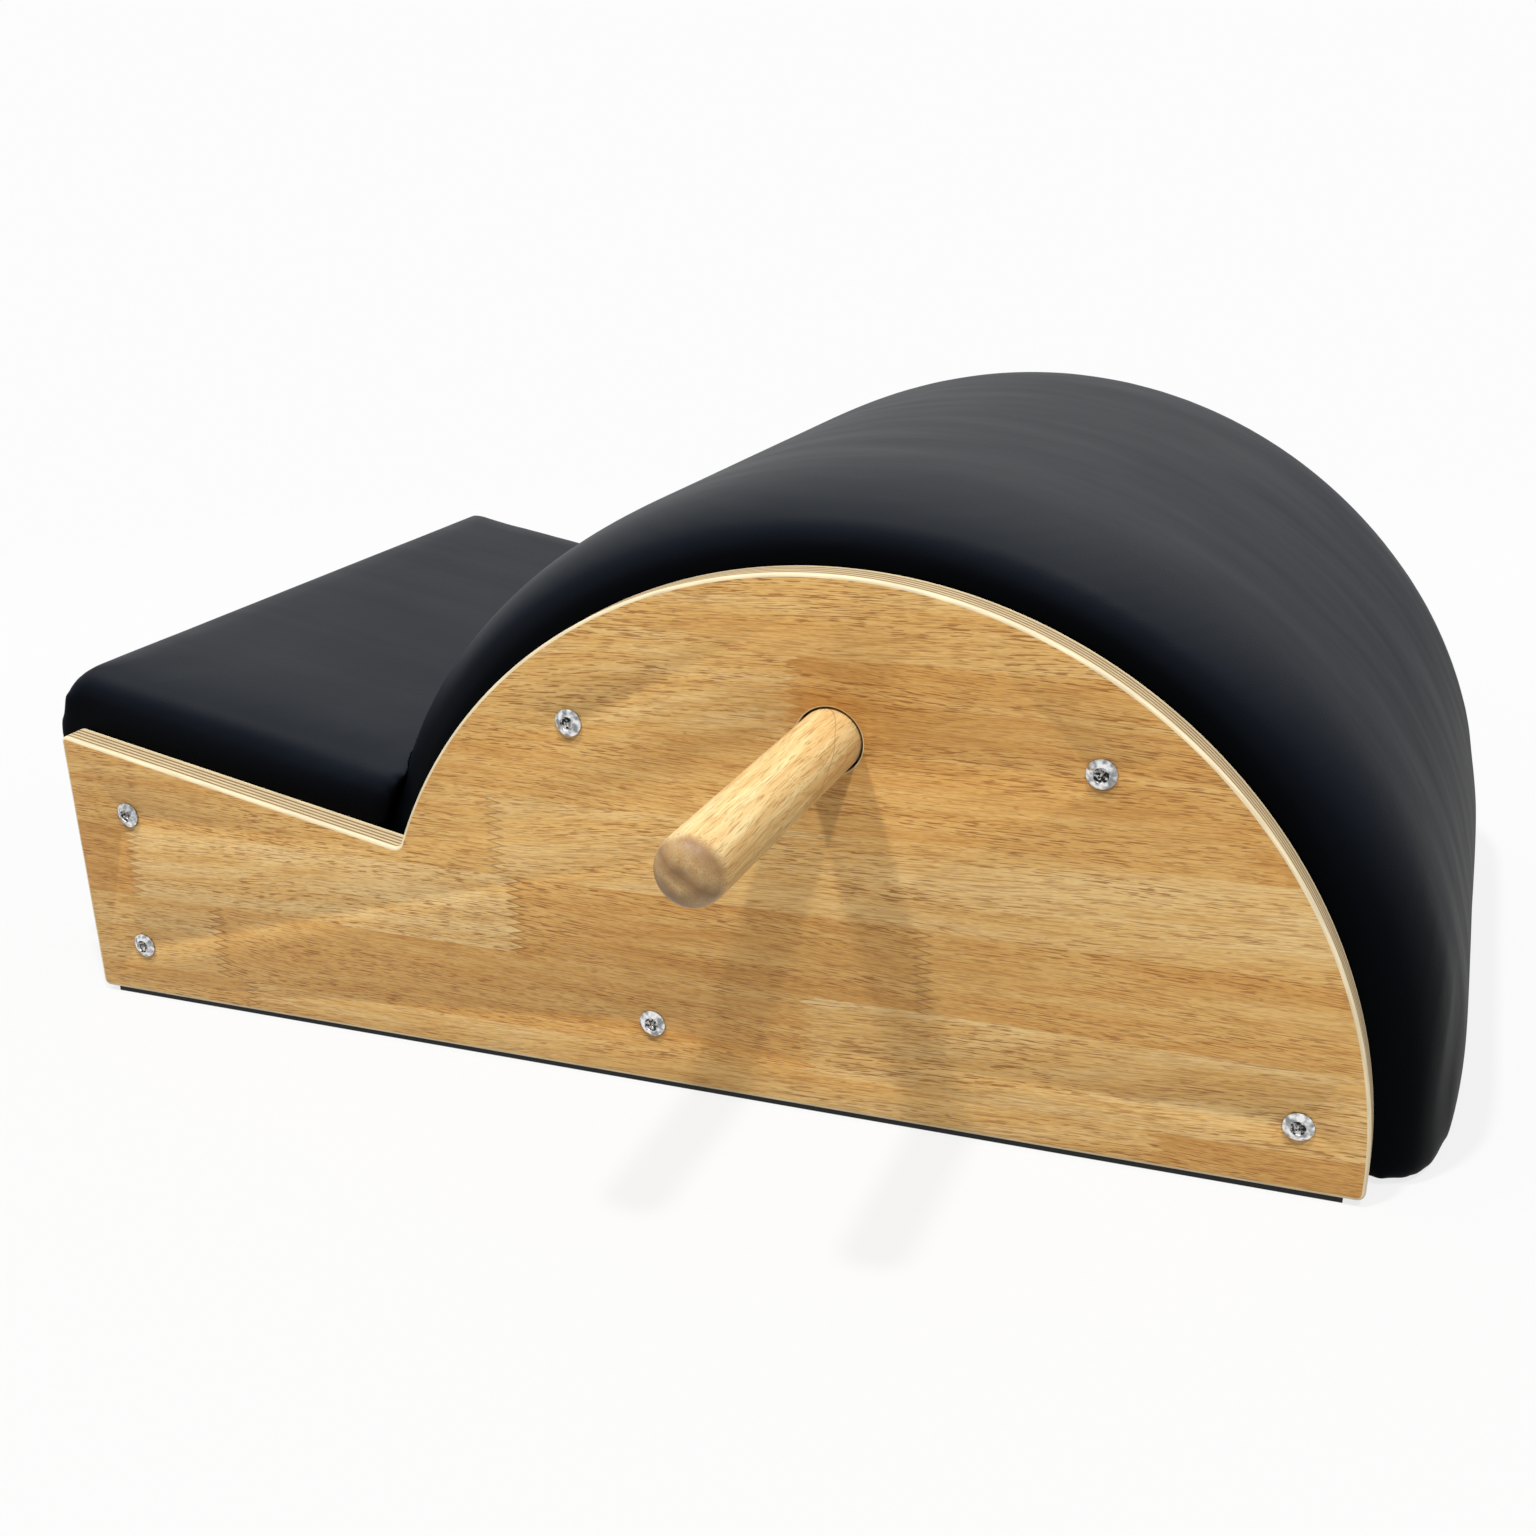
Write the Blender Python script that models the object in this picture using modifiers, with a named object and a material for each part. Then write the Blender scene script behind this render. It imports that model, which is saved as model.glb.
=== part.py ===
"""Spine corrector: two cut-out side panels carry a sloping seat pad and a half-barrel pad.

Sizes are in metres. +X runs from the seat end to the barrel end, +Y from the near panel to
the far one and +Z up. The origin is on the floor, under the middle of the whole object.
"""
import math

import bmesh
import bpy
from mathutils import Matrix, Vector

# Side panels
PLY = 0.018
INNER_WIDTH = 0.484
SEAT_END_HEIGHT = 0.166
NOTCH_X = 0.231
NOTCH_HEIGHT = 0.120
BARREL_RADIUS = 0.2725
BARREL_CENTRE_HEIGHT = 0.020
CORNER_RADIUS = 0.004
PANEL_CHAMFER = 0.0015
ARC_STEPS = 36

# Pads
SEAT_PAD_RISE = 0.039
BARREL_PAD_RISE = 0.038
SEAT_OVERHANG = 0.012
SEAT_BOARD = 0.012
SEAT_BOARD_RECESS = 0.006
SHELL = 0.012
SHELL_RECESS = 0.008
COVER = 0.0012
FLANGE = 0.022
SEAT_EDGE_ROUND = 0.024
BARREL_EDGE_WIDTH = 0.045
BARREL_CROWN = 0.003
BARREL_END_ROUND = 0.006
TOE_ANGLE = math.radians(163)
REAR_ANGLE = math.radians(-3.6)
PAD_JOINT = 0.001

# Rails, rib and cleats
RAIL_WIDTH = 0.045
RAIL_DEPTH = 0.035
SEAT_RAIL_X = 0.0415
LOWER_RAIL_X = 0.0376
LOWER_RAIL_HEIGHT = 0.0327
BOTTOM_RAIL_X = 0.383
BOTTOM_RAIL_HEIGHT = 0.0355
BARREL_RAIL_ANGLE = math.radians(37)
STRIP_ANGLE = math.radians(3.8)
STRIP_WIDTH = 0.060
STRIP_DEPTH = 0.018
RIB = 0.018
RIB_BOTTOM = 0.010
RIB_TOE_CLEARANCE = 0.012
CLEAT_WIDTH = 0.018
CLEAT_DEPTH = 0.025
CLEAT_LENGTH = 0.105
CLEAT_SETBACK = 0.012

# Handles
HANDLE_RADIUS = 0.0165
HANDLE_OUT = 0.178
HANDLE_END_ROUND = 0.012
HANDLE_CLEARANCE = 0.0007
HANDLE_SETBACK = 0.0045
HANDLE_DROP = 0.084
SOCKET_SIZE = 0.070
SOCKET_DEPTH = 0.050
SOCKET_FLOOR = 0.006

# Feet and fasteners
FOOT_HEIGHT = 0.003
FOOT_WIDTH = 0.014
FOOT_INSET = 0.010
HEAD_RADIUS = 0.0075
HEAD_HEIGHT = 0.003
HEAD_FLAT = 0.0026
BOLT_RADIUS = 0.003
BOLT_LENGTH = 0.040
INSERT_RADIUS = 0.005
INSERT_LENGTH = 0.025
SCREW_RADIUS = 0.002
SCREW_HEAD_RADIUS = 0.004
SCREW_HEAD_HEIGHT = 0.0025
SCREW_BITE = 0.009
CLEAT_SCREW_INSET = 0.015
SEAT_SCREW_INSET = 0.036
PAD_SCREW_OFFSET = 0.121

# Fits
GAP = 0.0003
SIDE_CLEARANCE = 0.0006
HOLE_CLEARANCE = 0.0003

# Worked out from the sizes above
BARREL_X = NOTCH_X + math.sqrt(BARREL_RADIUS ** 2 - (NOTCH_HEIGHT - BARREL_CENTRE_HEIGHT) ** 2)
SLOPE = math.atan2(SEAT_END_HEIGHT - NOTCH_HEIGHT, NOTCH_X)
SHELL_TOP = BARREL_RADIUS - SHELL_RECESS
SHELL_UNDER = SHELL_TOP - SHELL
BOARD_TOP = -SEAT_BOARD_RECESS
BOARD_UNDER = BOARD_TOP - SEAT_BOARD
PAD_RADIUS = BARREL_RADIUS + BARREL_PAD_RISE
HANDLE_X = BARREL_X + HANDLE_SETBACK
HANDLE_HEIGHT = BARREL_CENTRE_HEIGHT + BARREL_RADIUS - HANDLE_DROP
INNER_FACE = INNER_WIDTH / 2
OUTER_FACE = INNER_FACE + PLY
COVER_HALF = INNER_FACE - SIDE_CLEARANCE
UNDER_COVER = COVER + 3 * GAP
FRAME_Z = FOOT_HEIGHT + GAP
PAD_FRONT = (BOARD_UNDER - COVER - GAP) * math.sin(SLOPE) - SEAT_OVERHANG * math.cos(SLOPE)
FRAME_X = -(PAD_FRONT + BARREL_X + PAD_RADIUS) / 2
FLOOR_X = BARREL_X + math.sqrt(BARREL_RADIUS ** 2 - BARREL_CENTRE_HEIGHT ** 2)


def clear_scene():
    for existing in list(bpy.data.objects):
        bpy.data.objects.remove(existing)


def collection(name):
    made = bpy.data.collections.new(name)
    bpy.context.scene.collection.children.link(made)
    return made


def material(name, colour, roughness, metallic=0.0):
    made = bpy.data.materials.new(name)
    made.use_nodes = True
    shader = made.node_tree.nodes["Principled BSDF"]
    shader.inputs["Base Color"].default_value = (*colour, 1.0)
    shader.inputs["Roughness"].default_value = roughness
    shader.inputs["Metallic"].default_value = metallic
    return made


clear_scene()
PARTS = collection("spine_corrector")
CUTTERS = collection("cutters")
PANEL_WOOD = material("laminated_rubberwood", (0.58, 0.35, 0.12), 0.45)
DOWEL_WOOD = material("turned_beech", (0.68, 0.47, 0.24), 0.5)
RAIL_WOOD = material("planed_pine", (0.64, 0.48, 0.28), 0.6)
PLYWOOD = material("birch_plywood", (0.66, 0.52, 0.33), 0.6)
FOAM = material("upholstery_foam", (0.75, 0.72, 0.60), 0.95)
LEATHERETTE = material("black_leatherette", (0.012, 0.013, 0.016), 0.45)
RUBBER = material("black_rubber", (0.02, 0.02, 0.02), 0.8)
PLATED = material("nickel_plated_steel", (0.70, 0.69, 0.67), 0.25, 1.0)
ZINC = material("zinc_plated_steel", (0.60, 0.61, 0.62), 0.4, 1.0)
BRASS = material("brass", (0.70, 0.50, 0.22), 0.35, 1.0)


def object_from(name, bm, finish=None, smooth_angle=None):
    """Puts a bmesh in the parts collection, or among the cutters when it has no finish."""
    bmesh.ops.recalc_face_normals(bm, faces=bm.faces)
    mesh = bpy.data.meshes.new(name)
    bm.to_mesh(mesh)
    bm.free()
    made = bpy.data.objects.new(name, mesh)
    if finish:
        mesh.materials.append(finish)
        PARTS.objects.link(made)
    else:
        CUTTERS.objects.link(made)
        made.hide_render = True
        made.display_type = "WIRE"
    if smooth_angle:
        mesh.shade_smooth()
        mesh.set_sharp_from_angle(angle=math.radians(smooth_angle))
    return made


def cut(piece, cutter):
    boolean = piece.modifiers.new("cut_" + cutter.name, "BOOLEAN")
    boolean.operation = "DIFFERENCE"
    boolean.object = cutter


def world(x, y, z):
    """Frame point (from the seat end, across, above the panels' bottom edge) in the world."""
    return Vector((x + FRAME_X, y, z + FRAME_Z))


def seat_point(along, above):
    """Frame (x, z) of a point along the panels' seat edge, and above it at right angles."""
    x = along * math.cos(SLOPE) + above * math.sin(SLOPE)
    z = SEAT_END_HEIGHT - along * math.sin(SLOPE) + above * math.cos(SLOPE)
    return x, z


def barrel_point(radius, angle):
    """Frame (x, z) of a point around the barrel; angle 0 is the rear, 90 degrees the top."""
    return BARREL_X + radius * math.cos(angle), BARREL_CENTRE_HEIGHT + radius * math.sin(angle)


def arc(radius, start, end, steps):
    return [barrel_point(radius, start + (end - start) * k / steps) for k in range(steps + 1)]


def rounded(corner, before, after, radius, steps=3):
    """Points of a fillet at a corner of an outline."""
    corner, before, after = Vector(corner), Vector(before), Vector(after)
    to_before = (before - corner).normalized()
    to_after = (after - corner).normalized()
    half = to_before.angle(to_after) / 2
    reach = radius / math.tan(half)
    centre = corner + (to_before + to_after).normalized() * radius / math.sin(half)
    first = corner + to_before * reach - centre
    last = corner + to_after * reach - centre
    start = math.atan2(first.y, first.x)
    turn = math.remainder(math.atan2(last.y, last.x) - start, 2 * math.pi)
    angles = [start + turn * k / steps for k in range(steps + 1)]
    return [centre + Vector((radius * math.cos(angle), radius * math.sin(angle))) for angle in angles]


def plate(outline, middle_y, thickness):
    """Bmesh of a flat plate that stands in the XZ plane, from its outline in the frame."""
    curve = bpy.data.curves.new("outline", "CURVE")
    curve.dimensions = "2D"
    curve.fill_mode = "BOTH"
    curve.extrude = thickness / 2
    spline = curve.splines.new("POLY")
    spline.points.add(len(outline) - 1)
    for point, (x, z) in zip(spline.points, outline):
        point.co = (x + FRAME_X, z + FRAME_Z, 0, 1)
    spline.use_cyclic_u = True
    drawn = bpy.data.objects.new("outline", curve)
    PARTS.objects.link(drawn)
    drawn.rotation_euler = (math.pi / 2, 0, 0)
    drawn.location = (0, middle_y, 0)
    bpy.context.view_layer.update()
    solid = drawn.evaluated_get(bpy.context.evaluated_depsgraph_get())
    bm = bmesh.new()
    bm.from_mesh(bpy.data.meshes.new_from_object(solid))
    bm.transform(drawn.matrix_world)
    bmesh.ops.remove_doubles(bm, verts=bm.verts, dist=1e-6)
    bpy.data.objects.remove(drawn)
    return bm


def block(bm, centre, size, tilt=0.0):
    """Adds a box to a bmesh, turned about the Y axis by tilt."""
    place = Matrix.Translation(centre) @ Matrix.Rotation(tilt, 4, "Y") @ Matrix.Diagonal((*size, 1))
    bmesh.ops.create_cube(bm, size=1, matrix=place)


def rod(bm, start, end, radius, end_radius=None, segments=16):
    """Adds a cylinder or a cone between two points to a bmesh."""
    run = end - start
    place = Matrix.Translation((start + end) / 2) @ run.to_track_quat("Z", "Y").to_matrix().to_4x4()
    tip = radius if end_radius is None else end_radius
    bmesh.ops.create_cone(bm, cap_ends=True, segments=segments, radius1=radius, radius2=tip,
                          depth=run.length, matrix=place)


def turned_mesh(name, profile, segments, finish, hollow=False):
    """Mesh turned about the Z axis from (radius, distance) points that run down its outer side.

    A hollow piece joins the ends of its profile.
    """
    bm = bmesh.new()
    points = [bm.verts.new((radius, 0, distance)) for radius, distance in profile]
    for first, second in zip(points, points[1:] + points[:1] if hollow else points[1:]):
        bm.edges.new((first, second))
    drawn = bpy.data.objects.new(name, bpy.data.meshes.new(name))
    bm.to_mesh(drawn.data)
    bm.free()
    PARTS.objects.link(drawn)
    screw = drawn.modifiers.new("turn", "SCREW")
    screw.steps = segments
    screw.render_steps = segments
    screw.use_merge_vertices = True
    screw.merge_threshold = 0.00001
    bpy.context.view_layer.update()
    solid = drawn.evaluated_get(bpy.context.evaluated_depsgraph_get())
    mesh = bpy.data.meshes.new_from_object(solid)
    bpy.data.objects.remove(drawn)
    mesh.materials.append(finish)
    mesh.shade_smooth()
    mesh.set_sharp_from_angle(angle=math.radians(35))
    return mesh


def stand(name, mesh, start, direction):
    """Stands a turned mesh on a point, along a direction; like pieces share one mesh."""
    made = bpy.data.objects.new(name, mesh)
    PARTS.objects.link(made)
    made.matrix_world = Matrix.Translation(start) @ direction.to_track_quat("Z", "Y").to_matrix().to_4x4()


def under_shell(width, depth):
    """Radius of a rail's middle when the edges of its outer face touch the bent shell's cover."""
    return math.sqrt((SHELL_UNDER - UNDER_COVER) ** 2 - (width / 2) ** 2) - depth / 2


def rail_places():
    """Centre and tilt of each cross rail: (name, x, z, tilt, width, depth)."""
    under_seat = BOARD_UNDER - UNDER_COVER - RAIL_DEPTH / 2
    seat_z = SEAT_END_HEIGHT - SEAT_RAIL_X * math.tan(SLOPE) + under_seat / math.cos(SLOPE)
    rail_radius = under_shell(RAIL_WIDTH, RAIL_DEPTH)
    front = barrel_point(rail_radius, math.pi / 2 + BARREL_RAIL_ANGLE)
    rear = barrel_point(rail_radius, math.pi / 2 - BARREL_RAIL_ANGLE)
    strip = barrel_point(under_shell(STRIP_WIDTH, STRIP_DEPTH), STRIP_ANGLE)
    return [
        ("seat_end_rail_upper", SEAT_RAIL_X, seat_z, SLOPE, RAIL_WIDTH, RAIL_DEPTH),
        ("seat_end_rail_lower", LOWER_RAIL_X, LOWER_RAIL_HEIGHT, 0.0, RAIL_WIDTH, RAIL_DEPTH),
        ("bottom_rail", BOTTOM_RAIL_X, BOTTOM_RAIL_HEIGHT, 0.0, RAIL_WIDTH, RAIL_DEPTH),
        ("barrel_front_rail", *front, -BARREL_RAIL_ANGLE, RAIL_WIDTH, RAIL_DEPTH),
        ("barrel_rear_rail", *rear, BARREL_RAIL_ANGLE, RAIL_WIDTH, RAIL_DEPTH),
        ("rear_low_strip", *strip, math.pi / 2 - STRIP_ANGLE, STRIP_WIDTH, STRIP_DEPTH),
    ]


RAILS = rail_places()
BARREL_RAILS = RAILS[3:5]
SIDES = (("near", -1), ("far", 1))


def bolt_places(side):
    """Outer-face points of one panel's six bolts."""
    return [world(x, side * OUTER_FACE, z) for _, x, z, _, _, _ in RAILS]


def panels():
    """Cut-out ply panels with eased edges, a handle hole and six bolt holes each."""
    bottom_left, seat_end = (0, 0), (0, SEAT_END_HEIGHT)
    notch, rear = (NOTCH_X, NOTCH_HEIGHT), (FLOOR_X, 0)
    notch_angle = math.pi - math.asin((NOTCH_HEIGHT - BARREL_CENTRE_HEIGHT) / BARREL_RADIUS)
    rear_angle = -math.asin(BARREL_CENTRE_HEIGHT / BARREL_RADIUS)
    curve = arc(BARREL_RADIUS, notch_angle, rear_angle, ARC_STEPS)[1:-1]
    outline = []
    outline += rounded(bottom_left, rear, seat_end, CORNER_RADIUS)
    outline += rounded(seat_end, bottom_left, notch, CORNER_RADIUS)
    outline += rounded(notch, seat_end, curve[0], CORNER_RADIUS)
    outline += curve
    outline += rounded(rear, curve[-1], bottom_left, CORNER_RADIUS)
    for name, side in SIDES:
        bm = plate(outline, side * (INNER_FACE + PLY / 2), PLY)
        rim = [edge for edge in bm.edges if len({face.normal.y > 0.5 or face.normal.y < -0.5
                                                 for face in edge.link_faces}) == 2]
        bmesh.ops.bevel(bm, geom=rim, offset=PANEL_CHAMFER, segments=1, affect="EDGES")
        panel = object_from("side_panel_" + name, bm, PANEL_WOOD, 30)
        holes = bmesh.new()
        across = Vector((0, side * PLY, 0))
        for place in bolt_places(side):
            rod(holes, place - 2 * across, place + across, BOLT_RADIUS + HOLE_CLEARANCE)
        centre = world(HANDLE_X, side * OUTER_FACE, HANDLE_HEIGHT)
        rod(holes, centre - 2 * across, centre + across, HANDLE_RADIUS + HANDLE_CLEARANCE, segments=48)
        cut(panel, object_from("panel_holes_" + name, holes))


def cross_rails():
    """Planed rails from panel to panel, bored at each end for a threaded insert."""
    length = INNER_WIDTH - 2 * GAP
    for rail_place in RAILS:
        name, x, z, tilt, width, depth = rail_place
        bm = bmesh.new()
        block(bm, world(x, 0, z), (width, length, depth), tilt)
        rail = object_from(name, bm, PLYWOOD if name == "rear_low_strip" else RAIL_WOOD)
        bores = bmesh.new()
        for _, side in SIDES:
            mouth = world(x, side * (INNER_FACE + PLY / 2), z)
            floor = world(x, side * (INNER_FACE - INSERT_LENGTH - 3 * GAP), z)
            rod(bores, mouth, floor, INSERT_RADIUS + HOLE_CLEARANCE)
        if rail_place in BARREL_RAILS:
            for start, end in pad_screw_lines(rail_place):
                screw_hole(bores, start, end)
        cut(rail, object_from("bores_" + name, bores))


def screw_hole(bm, start, end):
    """Adds the hole of a wood screw to a bmesh; the screw's head lies outside the start."""
    run = (end - start).normalized()
    rod(bm, start - run * SCREW_HEAD_HEIGHT, end + run * GAP, SCREW_RADIUS + HOLE_CLEARANCE, segments=8)


def pad_screw_lines(rail_place):
    """Start and end of the two screws that run through a barrel rail into the bent shell."""
    _, x, z, tilt, _, depth = rail_place
    outward = Vector((math.sin(tilt), 0, math.cos(tilt)))
    reach = depth / 2 + UNDER_COVER + SCREW_BITE
    middles = [world(x, side * PAD_SCREW_OFFSET, z) for _, side in SIDES]
    return [(middle - outward * depth / 2, middle + outward * reach) for middle in middles]


def seat_screw_lines():
    """Start and end of each screw that runs up through a cleat into the seat board."""
    lines = []
    low = BOARD_UNDER - UNDER_COVER - CLEAT_DEPTH
    for along in (SEAT_SCREW_INSET, CLEAT_LENGTH - SEAT_SCREW_INSET):
        place = cleat_start() + along
        for side in (-1, 1):
            across = side * (INNER_FACE - GAP - CLEAT_WIDTH / 2)
            x0, z0 = seat_point(place, low)
            x1, z1 = seat_point(place, BOARD_UNDER + SCREW_BITE)
            lines.append((world(x0, across, z0), world(x1, across, z1)))
    return lines


def cleat_start():
    """Distance along the seat edge at which the cleats begin, just behind the upper rail."""
    return SEAT_RAIL_X / math.cos(SLOPE) + RAIL_WIDTH / 2 + CLEAT_SETBACK


def cleat_screw_lines(side):
    """Start and end of the two screws that run through one cleat into its panel."""
    above = BOARD_UNDER - UNDER_COVER - CLEAT_DEPTH / 2
    head_y = side * (INNER_FACE - GAP - CLEAT_WIDTH)
    tip_y = side * (INNER_FACE + SCREW_BITE)
    lines = []
    for along in (CLEAT_SCREW_INSET, CLEAT_LENGTH - CLEAT_SCREW_INSET):
        x, z = seat_point(cleat_start() + along, above)
        lines.append((world(x, head_y, z), world(x, tip_y, z)))
    return lines


def cleats():
    """Battens on the panels' inner faces under the seat board's long edges."""
    for name, side in SIDES:
        x, z = seat_point(cleat_start() + CLEAT_LENGTH / 2, BOARD_UNDER - UNDER_COVER - CLEAT_DEPTH / 2)
        bm = bmesh.new()
        across = side * (INNER_FACE - GAP - CLEAT_WIDTH / 2)
        block(bm, world(x, across, z), (CLEAT_LENGTH, CLEAT_WIDTH, CLEAT_DEPTH), SLOPE)
        cleat = object_from("seat_cleat_" + name, bm, RAIL_WOOD)
        holes = bmesh.new()
        for start, end in seat_screw_lines():
            if start.y * side > 0:
                screw_hole(holes, start, end)
        for start, end in cleat_screw_lines(side):
            screw_hole(holes, start, end)
        cut(cleat, object_from("cleat_holes_" + name, holes))
        cut(bpy.data.objects["side_panel_" + name], bpy.data.objects["cleat_holes_" + name])


def centre_rib():
    """Ply rib that carries the middle of both pads; the rails run through its notches."""
    upper = RAILS[0]
    front_x = upper[1] + upper[4] / 2 * math.cos(SLOPE) + upper[5] / 2 * math.sin(SLOPE) + GAP
    strip = RAILS[5]
    rear_x = strip[1] - STRIP_DEPTH / 2 - STRIP_WIDTH / 2 * math.sin(STRIP_ANGLE) - GAP
    under = BOARD_UNDER - GAP
    radius = SHELL_UNDER - GAP
    toe_clear = 2 * UNDER_COVER + FLANGE
    stop = seat_rear(BOARD_UNDER, COVER + GAP) - toe_clear
    start_angle = TOE_ANGLE - toe_clear / radius
    toe_low = barrel_point(SHELL_UNDER - COVER, TOE_ANGLE)[1] - RIB_TOE_CLEARANCE
    front_along = front_x / math.cos(SLOPE) - under * math.tan(SLOPE)
    start_x = barrel_point(radius, start_angle)[0]
    end_angle = math.acos((rear_x - BARREL_X) / radius)
    outline = [(front_x, RIB_BOTTOM), seat_point(front_along, under), seat_point(stop, under)]
    outline += [(seat_point(stop, under)[0], toe_low), (start_x, toe_low)]
    outline += arc(radius, start_angle, end_angle, ARC_STEPS // 2)
    outline += [(rear_x, RIB_BOTTOM)]
    rib = object_from("centre_rib", plate(outline, 0, RIB), PLYWOOD)
    notches = bmesh.new()
    for name, x, z, tilt, width, depth in RAILS[2:5]:
        away = -1 if name == "bottom_rail" else 1
        shift = Vector((math.sin(tilt), 0, math.cos(tilt))) * (away * depth / 2)
        block(notches, world(x, 0, z) + shift, (width + 2 * GAP, 2 * RIB, 2 * depth + 2 * GAP), tilt)
    cut(rib, object_from("rib_notches", notches))


def seat_rear(above, inset):
    """Distance along the seat edge to the barrel pad's face, at a height above the edge."""
    radius = PAD_RADIUS + PAD_JOINT + inset
    centre_x = BARREL_X * math.cos(SLOPE) - (BARREL_CENTRE_HEIGHT - SEAT_END_HEIGHT) * math.sin(SLOPE)
    centre_above = BARREL_X * math.sin(SLOPE) + (BARREL_CENTRE_HEIGHT - SEAT_END_HEIGHT) * math.cos(SLOPE)
    return centre_x - math.sqrt(radius ** 2 - (above - centre_above) ** 2)


def seat_layer(name, low, high, inset, finish=None, padded=False):
    """Layer of the seat pad between two heights over the seat edge, hollowed behind to the barrel.

    Its front corners are rounded, and so are the top edges of a padded layer.
    """
    front = inset - SEAT_OVERHANG
    x, z = seat_point((front + BARREL_X) / 2, (low + high) / 2)
    bm = bmesh.new()
    block(bm, world(x, 0, z), (BARREL_X - front, 2 * (COVER_HALF - inset), high - low), SLOPE)
    corner = world(0, 0, SEAT_END_HEIGHT)
    up = Vector((math.sin(SLOPE), 0, math.cos(SLOPE)))
    rearward = Vector((math.cos(SLOPE), 0, -math.sin(SLOPE)))
    rim = []
    for edge in bm.edges:
        ends = [vert.co - corner for vert in edge.verts]
        at_top = all(end.dot(up) > high - GAP for end in ends)
        at_front = all(end.dot(rearward) < front + GAP for end in ends)
        upright = abs((ends[1] - ends[0]).dot(up)) > (high - low) / 2
        if (at_top and padded) or (at_front and upright):
            rim.append(edge)
    bmesh.ops.bevel(bm, geom=rim, offset=SEAT_EDGE_ROUND - inset, segments=4, profile=0.5, affect="EDGES")
    layer = object_from(name, bm, finish, 35)
    bore = bmesh.new()
    axis = world(BARREL_X, 0, BARREL_CENTRE_HEIGHT)
    across = Vector((0, INNER_FACE, 0))
    rod(bore, axis - across, axis + across, PAD_RADIUS + PAD_JOINT + inset, segments=96)
    cut(layer, object_from(name + "_bore", bore))
    return layer


def seat_pad():
    """Board, foam and cover of the seat; the cover is turned under the board."""
    inset = COVER + GAP
    board = seat_layer("seat_board", BOARD_UNDER, BOARD_TOP, inset, PLYWOOD)
    seat_layer("seat_foam", BOARD_TOP + GAP, SEAT_PAD_RISE - inset, inset, FOAM, padded=True)
    cover = seat_layer("seat_cover", BOARD_UNDER - inset, SEAT_PAD_RISE, 0, LEATHERETTE, padded=True)
    cut(cover, seat_layer("seat_cover_inside", BOARD_UNDER - GAP, SEAT_PAD_RISE - COVER, COVER, padded=True))
    cut(cover, seat_layer("seat_cover_mouth", BOARD_UNDER - 2 * inset, BOARD_UNDER, FLANGE))
    holes = bmesh.new()
    for start, end in seat_screw_lines():
        screw_hole(holes, start, end)
    screws = object_from("seat_screw_holes", holes)
    cut(board, screws)
    cut(cover, screws)


def barrel_section(low, high, inset):
    """Cross-section (y, radius) of a padded barrel layer, softly rounded at its sides."""
    half = COVER_HALF - inset
    edge_width = BARREL_EDGE_WIDTH - inset
    edge_height = BARREL_PAD_RISE - BARREL_CROWN
    flat = half - edge_width
    steps = 4
    side = []
    for k in range(steps + 1):
        turn = math.pi / 2 * k / steps
        drop = edge_height * (1 - math.sin(turn)) + BARREL_CROWN
        side.append((flat + edge_width * math.cos(turn), high - drop))
    crown = []
    for k in range(1, steps):
        across = flat * (1 - 2 * k / steps)
        crown.append((across, high - BARREL_CROWN * (across / flat) ** 2))
    return [(-half, low), (half, low)] + side + crown + [(-y, radius) for y, radius in reversed(side)]


def barrel_solid(section, inset):
    """Bmesh of a barrel layer: its cross-section spun about the barrel's axis."""
    bm = bmesh.new()
    ring = []
    for y, radius in section:
        x, z = barrel_point(radius, REAR_ANGLE)
        ring.append(bm.verts.new(world(x, y, z)))
    loop = [bm.edges.new((ring[k - 1], ring[k])) for k in range(len(ring))]
    axis = world(BARREL_X, 0, BARREL_CENTRE_HEIGHT)
    bmesh.ops.spin(bm, geom=ring + loop, cent=axis, axis=(0, -1, 0), angle=TOE_ANGLE - REAR_ANGLE,
                   steps=ARC_STEPS)
    if inset:
        for angle, turn in ((REAR_ANGLE, 1), (TOE_ANGLE, -1)):
            inward = turn * Vector((-math.sin(angle), 0, math.cos(angle)))
            bmesh.ops.bisect_plane(bm, geom=bm.verts[:] + bm.edges[:] + bm.faces[:], clear_outer=True,
                                   plane_co=axis + inward * inset, plane_no=-inward)
    bmesh.ops.holes_fill(bm, edges=[edge for edge in bm.edges if edge.is_boundary])
    return bm


def barrel_plain(low, high, inset):
    """Bmesh of a barrel layer with a plain rectangular section."""
    half = COVER_HALF - inset
    return barrel_solid([(-half, low), (half, low), (half, high), (-half, high)], inset)


def barrel_padded(low, high, inset):
    """Bmesh of a padded barrel layer with rounded sides and eased ends."""
    bm = barrel_solid(barrel_section(low, high, inset), inset)
    axis = world(BARREL_X, 0, BARREL_CENTRE_HEIGHT)
    rim = []
    for edge in bm.edges:
        at_end = any(len(face.verts) > 4 for face in edge.link_faces)
        lower = min((vert.co - axis).xz.length for vert in edge.verts)
        if at_end and lower > BARREL_RADIUS + GAP:
            rim.append(edge)
    bmesh.ops.bevel(bm, geom=rim, offset=BARREL_END_ROUND - inset, segments=2, profile=0.5, affect="EDGES")
    return bm


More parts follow.
